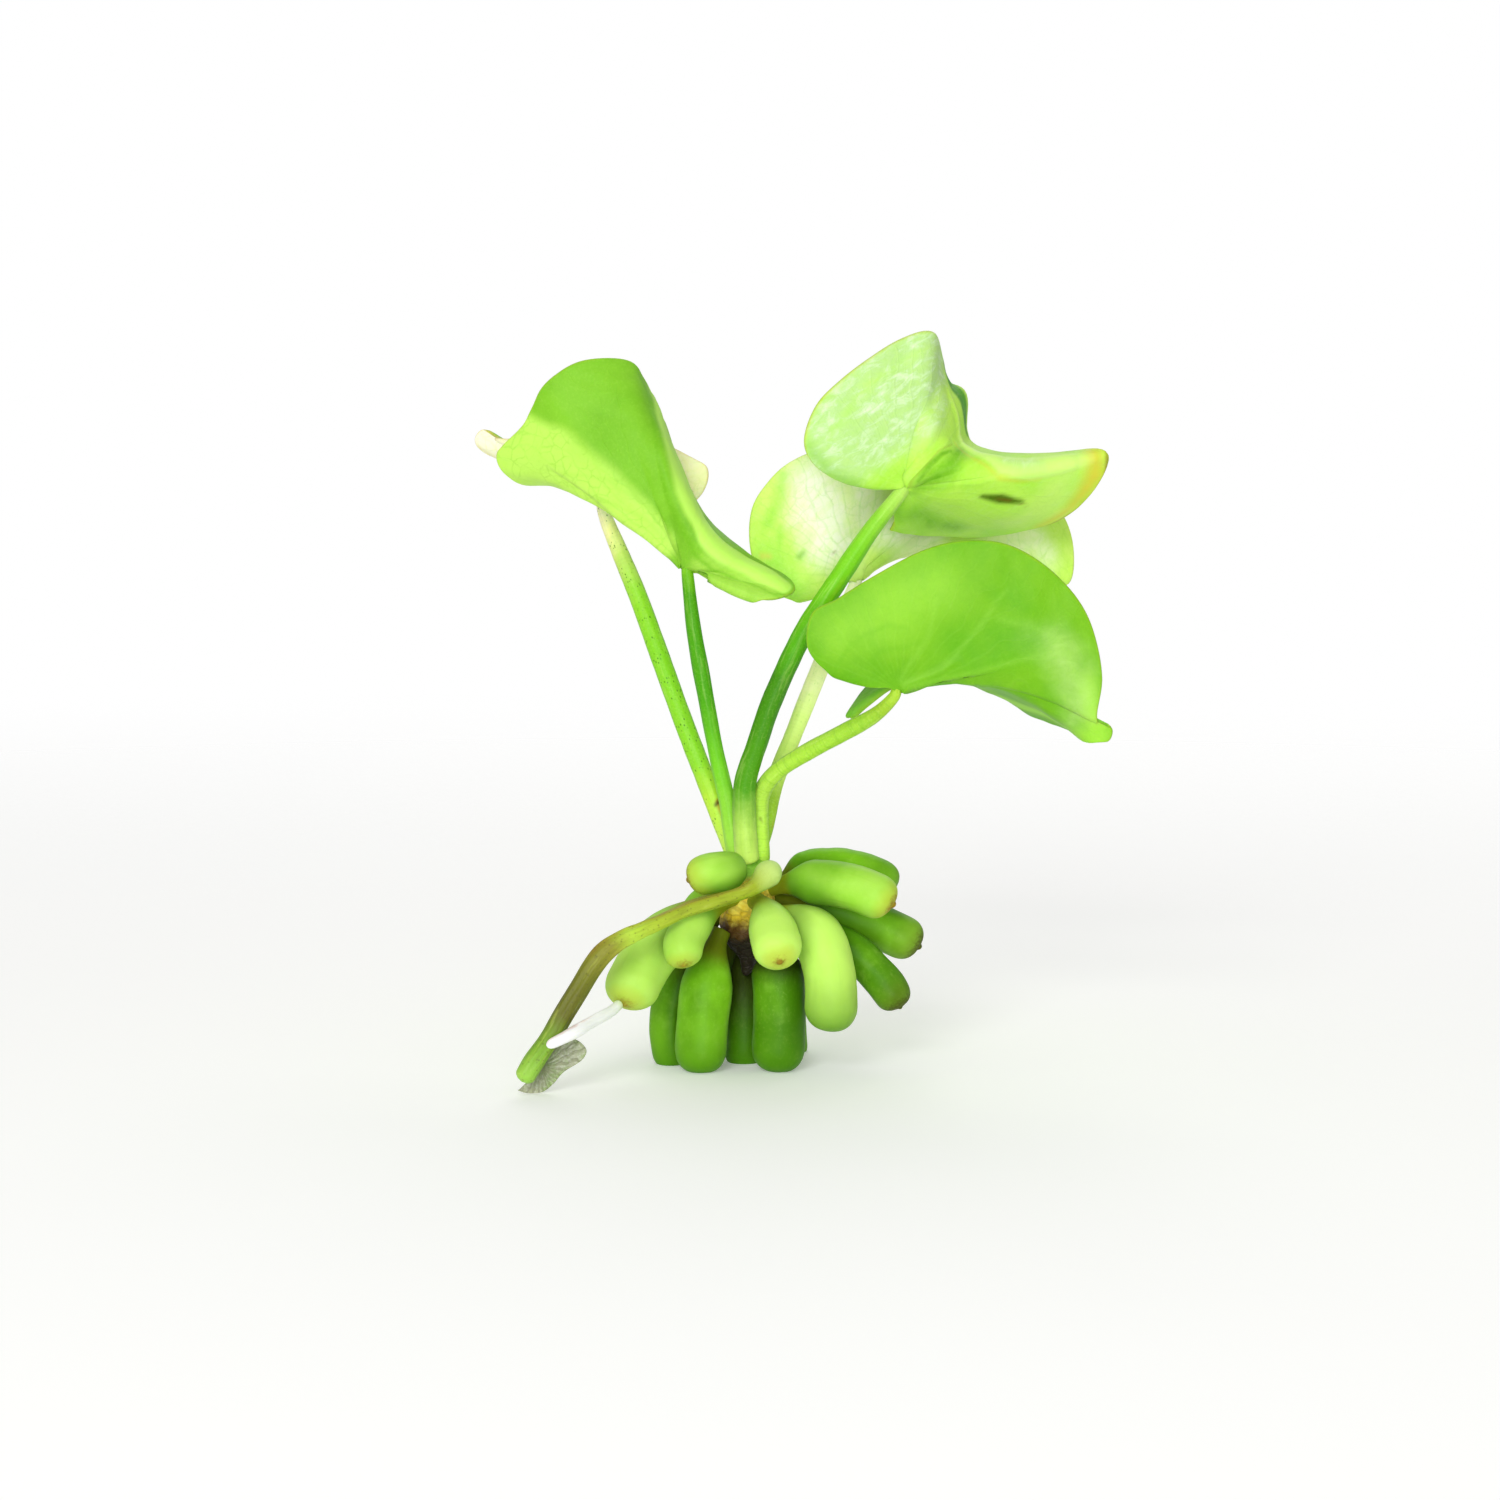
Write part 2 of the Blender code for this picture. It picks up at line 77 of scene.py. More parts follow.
def dome(x):
    # the quarter circle: 0 at 0, rising steeply, and 1 from 1 on
    return np.sqrt(1 - (1 - np.clip(x, 0, 1)) ** 2)


def crowded(count, even, bothEnds=True):
    # shares from 0 to 1 that crowd at both ends or at the far one, mixed with an even spread
    share = np.linspace(0, 1, count)
    bent = 0.5 - 0.5 * np.cos(math.pi * share) if bothEnds else np.sin(share * math.pi / 2)
    return share * even + bent * (1 - even)


def bow(start, middle, end, t):
    # start(1-t)(1-2t) + middle 4t(1-t) + end t(2t-1): the even curve through three places
    return start * (1 - t) * (1 - 2 * t) + middle * 4 * t * (1 - t) + end * t * (2 * t - 1)


def unit(vectors):
    return vectors / np.maximum(np.linalg.norm(vectors, axis=-1, keepdims=True), 1e-12)


def ripple(places, size, seed):
    # a smooth, unrepeating field, mostly from -1 to 1: sines along turned directions, added up
    rng = np.random.default_rng(seed)
    total = np.zeros(places.shape[:-1])
    for octave in range(5):
        way = unit(rng.normal(size=3))
        total += np.sin(places @ way * (2 * math.pi / size) * (0.7 + 0.3 * octave) + rng.uniform(0, 6.3))
    return total / 3.2


def ripples(places, *waves):
    # ripples added up, each with its size, seed and depth
    return sum(ripple(places, size, seed) * depth for size, seed, depth in waves)


def lengths(places, axis=0):
    # the length of each path of places, up to every one of them
    along = np.cumsum(np.linalg.norm(np.diff(places, axis=axis), axis=-1), axis=axis)
    return np.insert(along, 0, 0, axis=axis)


def roundAngles(around):
    return np.linspace(0, 2 * math.pi, around, endpoint=False)


def lathe(radius, height, around):
    # radius(v) * (cos a, sin a), height(v), round an upright axis
    angle = roundAngles(around)
    across, deep = radius[:, None] * np.cos(angle), radius[:, None] * np.sin(angle)
    return np.stack(np.broadcast_arrays(across, deep, height[:, None]), -1)


def srgb(code):
    # six hex digits, made linear
    share = np.array(list(bytes.fromhex(code))) / 255
    return np.where(share <= 0.04045, share / 12.92, ((share + 0.055) / 1.055) ** 2.4).tolist()


# Meshes

def nodeName(key, start):
    # frontLeft and leaf give leaf_front_left
    return start + "_" + "".join("_" + c.lower() if c.isupper() else c for c in key)


def addObject(name, data):
    thing = bpy.data.objects.new(name, data)
    bpy.context.scene.collection.objects.link(thing)
    return thing


def makePiece(name, points, quads, triangles, layers, slotName, nodes, skin):
    # one mesh from whole arrays; layers are named vectors kept at its points for the material
    mesh = bpy.data.meshes.new(name)
    corners = np.concatenate([quads.ravel(), triangles.ravel()]).astype(np.int32)
    starts = np.concatenate([np.arange(len(quads)) * 4, quads.size + np.arange(len(triangles)) * 3])
    mesh.vertices.add(len(points))
    mesh.vertices.foreach_set("co", np.ascontiguousarray(points, np.float32).ravel())
    mesh.loops.add(len(corners))
    mesh.loops.foreach_set("vertex_index", corners)
    mesh.polygons.add(len(starts))
    mesh.polygons.foreach_set("loop_start", starts.astype(np.int32))
    mesh.update(calc_edges=True)
    mesh.validate()
    for layerName, values in layers.items():
        layer = mesh.attributes.new(layerName, "FLOAT_VECTOR", "POINT")
        layer.data.foreach_set("vector", np.ascontiguousarray(values, np.float32).ravel())
    mesh.shade_smooth()
    mesh.materials.append(skin)
    piece = addObject(name, mesh)
    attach(piece, "root")
    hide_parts(*nodes)


def ringFaces(rings, around):
    # quads between rings of points that close round, and a fan to a pole at each end
    i = np.arange(rings - 1)[:, None] * around
    j = np.arange(around)
    k = (j + 1) % around
    quads = np.stack([i + j, i + k, i + around + k, i + around + j], -1).reshape(-1, 4)
    first, end = rings * around, (rings - 1) * around
    fans = [np.stack([k, j, j * 0 + first], -1), np.stack([end + j, end + k, j * 0 + first + 1], -1)]
    return quads, np.concatenate(fans)


def withPoles(grid):
    # the grid as a list, with the middle of its first and of its last ring added
    return np.concatenate([grid.reshape(-1, grid.shape[-1]), [grid[0].mean(0)], [grid[-1].mean(0)]])


def makeRound(name, grid, layers, slotName, nodes, skin):
    # a closed piece from a grid of rings
    layers = {layerName: withPoles(values) for layerName, values in layers.items()}
    makePiece(name, withPoles(grid), *ringFaces(*grid.shape[:2]), layers, slotName, nodes, skin)


def tubeSurface(spine, radius, around, swell=0.0):
    # spine(t) + radius(t, a) * (side * cos a + rise * sin a); the frame keeps clear of the spine's own plane
    way = unit(np.gradient(spine, axis=0))
    flat = spine - spine.mean(0)
    side = unit(np.cross(way, np.linalg.svd(flat, full_matrices=False)[2][-1]))
    rise = np.cross(way, side)
    angle = roundAngles(around)[:, None]
    reach = np.broadcast_to(radius[:, None], (len(spine), around)) * (1 + swell)
    ring = side[:, None] * np.cos(angle) + rise[:, None] * np.sin(angle)
    points = spine[:, None] + reach[..., None] * ring
    # rope: the tube unrolled without a seam, as (cos a, sin a) in radii and the length in millimetres
    along = lengths(spine)
    rope = lathe(reach.mean(1) / mm, along / mm, around)
    # coat: the share of the length, and how far the surface faces up
    upward = unit(points - spine[:, None])[..., 2]
    share = np.broadcast_to((along / along[-1])[:, None], reach.shape)
    return points, rope, np.stack([share, upward, upward * 0], -1)


# Materials: Value wraps a socket, so that shader maths reads as plain expressions

class Value:
    def __init__(self, tree, socket):
        self.tree, self.socket = tree, socket

    def math(self, operation, *others):
        sockets = dict(enumerate((self, *others)))
        return addNode(self.tree, "ShaderNodeMath", {"operation": operation}, sockets)

    def __add__(self, other):
        return self.math("ADD", other)

    def __sub__(self, other):
        return self.math("SUBTRACT", other)

    def __rsub__(self, other):
        return addNode(self.tree, "ShaderNodeMath", {"operation": "SUBTRACT"}, {0: other, 1: self})

    def __mul__(self, other):
        return self.math("MULTIPLY", other)

    def __truediv__(self, other):
        return self.math("DIVIDE", other)

    def __pow__(self, other):
        return self.math("POWER", other)

    __radd__ = __add__
    __rmul__ = __mul__

    def upToOne(self):
        return self.math("MINIMUM", 1)

    def ease(self, low, high):
        # 0 at low to 1 at high, smoothly, also where low is the larger
        ends = (0, 1) if high > low else (1, 0)
        sockets = {"Value": self, "From Min": min(low, high), "From Max": max(low, high),
                   "To Min": ends[0], "To Max": ends[1]}
        return addNode(self.tree, "ShaderNodeMapRange", {"interpolation_type": "SMOOTHSTEP"}, sockets)


def connect(tree, slot, value):
    if isinstance(value, Value):
        tree.links.new(value.socket, slot)
    elif isinstance(value, str):
        slot.default_value = (*srgb(value), 1)
    else:
        slot.default_value = value


def setStops(elements, stops):
    # a ramp starts with two stops, and the others are added to them
    elements = [elements[0], elements[1], *[elements.new(0.5) for _ in stops[2:]]]
    for element, (at, tone) in zip(elements, stops):
        element.position, element.color = at, (*srgb(tone), 1)


def addNode(tree, kind, settings, sockets, output=0):
    # a node with its settings, which come first, and the values or links of its sockets; gives one output
    node = tree.nodes.new(kind)
    for key, value in settings.items():
        if key == "stops":
            setStops(node.color_ramp.elements, value)
        else:
            setattr(node, key, value)
    for key, value in sockets.items():
        connect(tree, node.inputs[key], value)
    return Value(tree, node.outputs[output])


def flesh(weight, radius, scale):
    # how light enters a skin and comes out again nearby
    return {"Subsurface Weight": weight, "Subsurface Radius": radius, "Subsurface Scale": scale}


class Skin:
    def __init__(self, name):
        self.material = bpy.data.materials.new(name)
        self.material.use_nodes = True
        self.tree = self.material.node_tree

    def node(self, kind, settings, sockets, output=0):
        return addNode(self.tree, kind, settings, sockets, output)

    def layer(self, name):
        return self.node("ShaderNodeAttribute", {"attribute_name": name}, {}, "Vector")

    def parts(self, vector):
        # the three numbers of a vector, or of the layer of that name
        vector = self.layer(vector) if isinstance(vector, str) else vector
        split = self.node("ShaderNodeSeparateXYZ", {}, {0: vector})
        return [Value(self.tree, socket) for socket in split.socket.node.outputs]

    def vector(self, x, y, z):
        return self.node("ShaderNodeCombineXYZ", {}, {0: x, 1: y, 2: z})

    def scaled(self, vector, *by):
        return self.node("ShaderNodeVectorMath", {"operation": "MULTIPLY"}, {0: vector, 1: by})

    def place(self):
        # Object coordinates in millimetres
        return self.scaled(self.node("ShaderNodeTexCoord", {}, {}, "Object"), 1000, 1000, 1000)

    def noise(self, vector, scale, detail=3.0, rough=0.55, bend=0.0):
        sockets = {"Vector": vector, "Scale": scale, "Detail": detail, "Roughness": rough, "Distortion": bend}
        return self.node("ShaderNodeTexNoise", {}, sockets, "Fac")

    def cells(self, vector, scale, feature="F1"):
        sockets = {"Vector": vector, "Scale": scale}
        return self.node("ShaderNodeTexVoronoi", {"feature": feature}, sockets, "Distance")

    def ramp(self, share, stops):
        return self.node("ShaderNodeValToRGB", {"stops": stops}, {0: share})

    def mix(self, share, low, high):
        return self.node("ShaderNodeMix", {"data_type": "RGBA"}, {0: share, 6: low, 7: high}, 2)

    def over(self, colour, *coats):
        # each coat is a share and the tone that it lays over the colour
        for share, tone in coats:
            colour = self.mix(share, colour, tone)
        return colour

    def bump(self, height, strength=0.6):
        return self.node("ShaderNodeBump", {}, {"Height": height, "Distance": mm, "Strength": strength})

    def finish(self, sockets):
        shader = self.tree.nodes["Principled BSDF"]
        for key, value in sockets.items():
            connect(self.tree, shader.inputs[key], value)
        return self.material


def lineGap(angle, reach, spacing):
    # how far away the nearest of the lines is that leave the joint at even angles
    return ((angle / spacing).math("FRACT") - 0.5).math("ABSOLUTE") * reach * spacing


# Sheets: a blade or a sheath is a closed two-sided sheet, and its marks are drawn on its flat plan. Its rim
# is a row of rays from the joint, each a place on the rim, or a middle and a place on the rim. A mark is its
# kind, strength, soft border and a path of places on the plan, with their widths.

sheetShape = {"swell": 0.05, "edge": 0.42, "joinMm": 2, "waves": (1, 10), "evenSpans": 0.2, "evenSteps": 0.3}
# Marks of the kinds light and pale are partly a blade's own paler patches and partly painted light; shade
# marks are partly its own greener patches and partly painted shade; the marks along a rolled lip are a
# painted highlight.
markKinds = ("light", "pale", "shade", "brown", "orange", "lip", "deep", "vein", "warm")


def rayPlaces(sheet):
    # the joint, then the middle and the rim of each ray; a ray without a middle of its own bulges a little
    joint = sighted(sheet["joint"])
    middles, rims = [], []
    for ray in sheet["rim"]:
        rim = sighted(ray[-3:])
        swell = sheetShape["swell"] * np.linalg.norm(rim - joint)
        middle = (joint + rim) / 2 - np.array((0, swell, swell / 2))
        middles.append(sighted(ray[:3]) if len(ray) == 6 else middle)
        rims.append(rim)
    return joint, np.array(middles), np.array(rims)


def stroke(plan, path, soft):
    # 1 within half the width of a path, and eased to 0 over the soft border; the path's places end with
    # the width, which changes evenly between them
    outside = np.full(plan.shape[:-1], np.inf)
    for a, b in zip(np.array(path[:-1], float), np.array(path[1:], float)):
        run = (b - a)[:-1]
        along = np.clip(((plan - a[:-1]) @ run) / max(run @ run, 1e-9), 0, 1)
        away = np.linalg.norm(plan - a[:-1] - along[..., None] * run, axis=-1)
        outside = np.minimum(outside, away - (a[-1] + (b[-1] - a[-1]) * along) / 2)
    return 1 - ease(outside, -soft / 2, soft / 2)


def sheetSurface(sheet):
    # base(s, r) = bow(joint, middle(s), rim(s), r): each ray curves through its three places; the plan is the
    # same ray laid flat, at the angle added up from ray to ray
    joint, middles, rims = rayPlaces(sheet)
    at = crowded(sheet["spans"] + 1, sheetShape["evenSpans"]) * (len(rims) - 1)
    r = crowded(sheet["steps"] + 1, sheetShape["evenSteps"], False)[None, :, None]
    base = bow(joint, smoothThrough(middles, at)[:, None], smoothThrough(rims, at)[:, None], r)

    along, arc = lengths(base, 1) / mm, lengths(base, 0) / mm
    edge = np.minimum(along[:, -1:] - along, np.minimum(arc, arc[-1:] - arc))
    way = unit(base[:, base.shape[1] // 2] - joint)
    turns = np.arccos(np.clip((way[1:] * way[:-1]).sum(-1), -1, 1))
    angle = np.concatenate([[0], np.cumsum(turns)])
    angle = np.broadcast_to((angle - angle[-1] / 2)[:, None], along.shape)
    plan = np.stack([along * np.cos(angle), along * np.sin(angle)], -1)

    normal = unit(np.cross(np.gradient(base, axis=1), np.gradient(base, axis=0)))
    own = ease(along, 0, sheetShape["joinMm"])[..., None]
    normal = unit(normal * own + unit(normal[:, 1:4].mean((0, 1))) * (1 - own))
    return base, normal, plan, along, angle, edge


def sheetFaces(rays, steps):
    # an upper and a lower grid that share their border and the joint; also the numbers of the points in use
    number = np.arange(rays * steps).reshape(rays, steps)
    number[:, 0] = 0
    shared = np.zeros(number.shape, bool)
    shared[[0, -1]] = shared[:, [0, -1]] = True
    below = np.where(shared, number, number + rays * steps)
    quads, triangles = [], []
    for grid, order in ((number, slice(None)), (below, slice(None, None, -1))):
        corners = [grid[:-1, 1:-1], grid[:-1, 2:], grid[1:, 2:], grid[1:, 1:-1]]
        quads.append(np.stack(corners, -1).reshape(-1, 4)[:, order])
        triangles.append(np.stack([grid[:-1, 0], grid[:-1, 1], grid[1:, 1]], -1)[:, order])
    quads, triangles = np.concatenate(quads), np.concatenate(triangles)
    used, numbers = np.unique(np.concatenate([quads.ravel(), triangles.ravel()]), return_inverse=True)
    return numbers[:quads.size].reshape(-1, 4), numbers[quads.size:].reshape(-1, 3), used, shared


def makeSheet(name, sheet, skin):
    base, normal, plan, along, angle, edge = sheetSurface(sheet)
    rounded = dome(edge / sheetShape["edge"])
    half = sheet["thickness"] / 2 * rounded
    (size, amount), seed = sheet["ripple"], sheet["seed"]
    wave = ripples(base / mm, (size, seed, amount), (size / 3, seed + 1, amount / 4))
    wave = wave * ease(along, *sheetShape["waves"])
    middle = base + normal * (wave - sheet["thickness"] / 2)[..., None] * mm
    tones = {kind: np.zeros(along.shape) for kind in markKinds}
    relief = np.zeros(along.shape)
    for kind, strength, soft, *path in sheet["marks"]:
        shape = stroke(plan, path, soft) * strength
        if kind == "ridge":
            relief = np.maximum(relief, shape)
        else:
            tones[kind] = np.maximum(tones[kind], shape)
    upper = middle + normal * half[..., None] * mm
    under = middle - normal * (half + relief * rounded)[..., None] * mm
    quads, triangles, used, shared = sheetFaces(*along.shape)

    def bothSides(top, bottom):
        return np.concatenate([top.reshape(-1, 3), bottom.reshape(-1, 3)])[used]

    # side is 0 above, 1 below and a half on the border
    side = np.where(shared, 0.5, 0.0)[..., None]
    ray = np.stack([angle, along, edge], -1)
    tone, mark, fold = (np.stack([tones[kind] for kind in markKinds[i:i + 3]], -1) for i in (0, 3, 6))
    layers = {
        "plan": bothSides(np.concatenate([plan, side], -1), np.concatenate([plan, 1 - side], -1)),
        "ray": bothSides(ray, ray),
        "tone": bothSides(tone * 0, tone),
        "mark": bothSides(mark * (1, 1, 0), mark),
        "fold": bothSides(fold * 0, fold),
    }
    makePiece(name, bothSides(upper, under), quads, triangles, layers, sheet["slot"], [sheet["node"]], skin)


# Blades

bladeShape = {"slot": "leaf_green", "spans": 240, "steps": 76, "thickness": 0.8, "ripple": (11, 0.16)}
# what the blades have in common, unless their own look says otherwise
leafLook = {"rimStrength": 0.35, "topVein": "92cc46", "brown": "545c10", "orange": "d6b042",
            "scorch": "7a4616"}
# the veins, and how far they, their branches and their net stand up
veinLook = {"spacing": 0.2, "bend": 0.5, "width": 0.16, "netMm": 1.7, "main": 0.03, "branch": 0.04,
            "net": 0.02}


def leafSkin(name, look):
    skin = Skin(name)
    x, y, side = skin.parts("plan")
    angle, reach, rim = skin.parts("ray")
    light, pale, shade = skin.parts("tone")
    brown, orange, lip = skin.parts("mark")
    deep, line, warm = skin.parts("fold")
    plan = skin.vector(x, y, side * 4)
    cloudy = skin.noise(plan, 0.11)
    patchy = skin.noise(plan, 0.42, 4, 0.6)
    wisps = skin.noise(skin.vector(x * 0.45 + y * 0.2, y - x * 0.1, side * 4), 0.85, 5, 0.62, 0.6)
    grain = skin.noise(plan, 3.1, 3, 0.6)
    # veins: lines at even angles from the joint, bent by noise, twice as many further out, and a net of cells
    spacing, width = veinLook["spacing"], veinLook["width"]
    bent = angle + (skin.noise(plan, 0.1, 2) - 0.5) * veinLook["bend"]
    main = lineGap(bent, reach, spacing).ease(width * 1.8, 0) * reach.ease(0.5, 3) * reach.ease(32, 14)
    branch = lineGap(bent + spacing / 4, reach, spacing / 2).ease(width * 1.4, 0) * reach.ease(6, 12) * 0.5
    warped = skin.vector(x + (patchy - 0.5) * 1.6, y + (grain - 0.5) * 0.5, side * 4)
    net = skin.cells(warped, 1 / veinLook["netMm"], "DISTANCE_TO_EDGE").ease(0.1, 0) * patchy.ease(0.35, 0.6)
    veins = main.math("MAXIMUM", branch) * (patchy * 0.8 + 0.5)
    # the underside, which faces the front of the plant
    colour = skin.over(
        skin.mix(cloudy.ease(0.36, 0.64), look["low"], look["high"]),
        # the light, pale and shade coats carry painted light and shade as well as the blade's own paler and
        # greener patches
        (light * (patchy * 0.5 + 0.75), look["light"]),
        ((pale * (wisps.ease(0.3, 0.65) * 0.3 + 0.75)).upToOne(), look["pale"]),
        (wisps.ease(0.44, 0.8) * (pale * 0.9 + 0.1) * look["wisps"], look["wisp"]),
        ((shade * (patchy.ease(0.3, 0.62) * 0.3 + 0.7)).upToOne(), look["shade"]),
        (veins * look["veins"], look["vein"]),
        (net * look["net"], look["netTone"]),
        (line * (grain * 0.6 + 0.6), look["vein"]),
        (grain.ease(0.45, 0.8) * 0.12, look["light"]),
        (grain.ease(0.5, 0.25) * 0.1, look["shade"]),
        # painted highlight along the rolled lip, where the edge turns to the light
        (lip * (1 - pale * 0.6) * 0.85, look["lip"]),
    )
    # the upper side is deeper green with paler veins
    top = skin.over(
        skin.mix(cloudy.ease(0.35, 0.65), look["topLow"], look["topHigh"]),
        (light * 0.85, look["topLight"]),
        (veins * 0.5, look["topVein"]),
        (net * 0.3, look["topVein"]),
        (grain.ease(0.5, 0.8) * 0.2, look["topHigh"]),
    )
    colour = skin.over(
        skin.mix(side.ease(0.4, 0.6) * (1 - deep), top, colour),
        ((rim + (patchy - 0.5) * 0.5).ease(0.5, 0) * look["rimStrength"], look["rim"]),
        (orange * (patchy * 0.5 + 0.6), look["orange"]),
        ((brown * (grain * 0.5 + 0.8)).upToOne(), look["brown"]),
        (warm, look["scorch"]),
    )
    height = main * veinLook["main"] + branch * veinLook["branch"] + net * veinLook["net"]
    height = height + grain * 0.02 + patchy * 0.05
    return skin.finish({
        "IOR": 1.4, "Specular IOR Level": 0.12, "Coat Weight": 0.03, "Coat Roughness": 0.35,
        **flesh(0.2, (0.7, 1.0, 0.15), 0.0016),
        "Base Color": colour,
        "Roughness": patchy * 0.16 + 0.4 - lip * 0.06 + brown * 0.2,
        "Normal": skin.bump(height),
    })


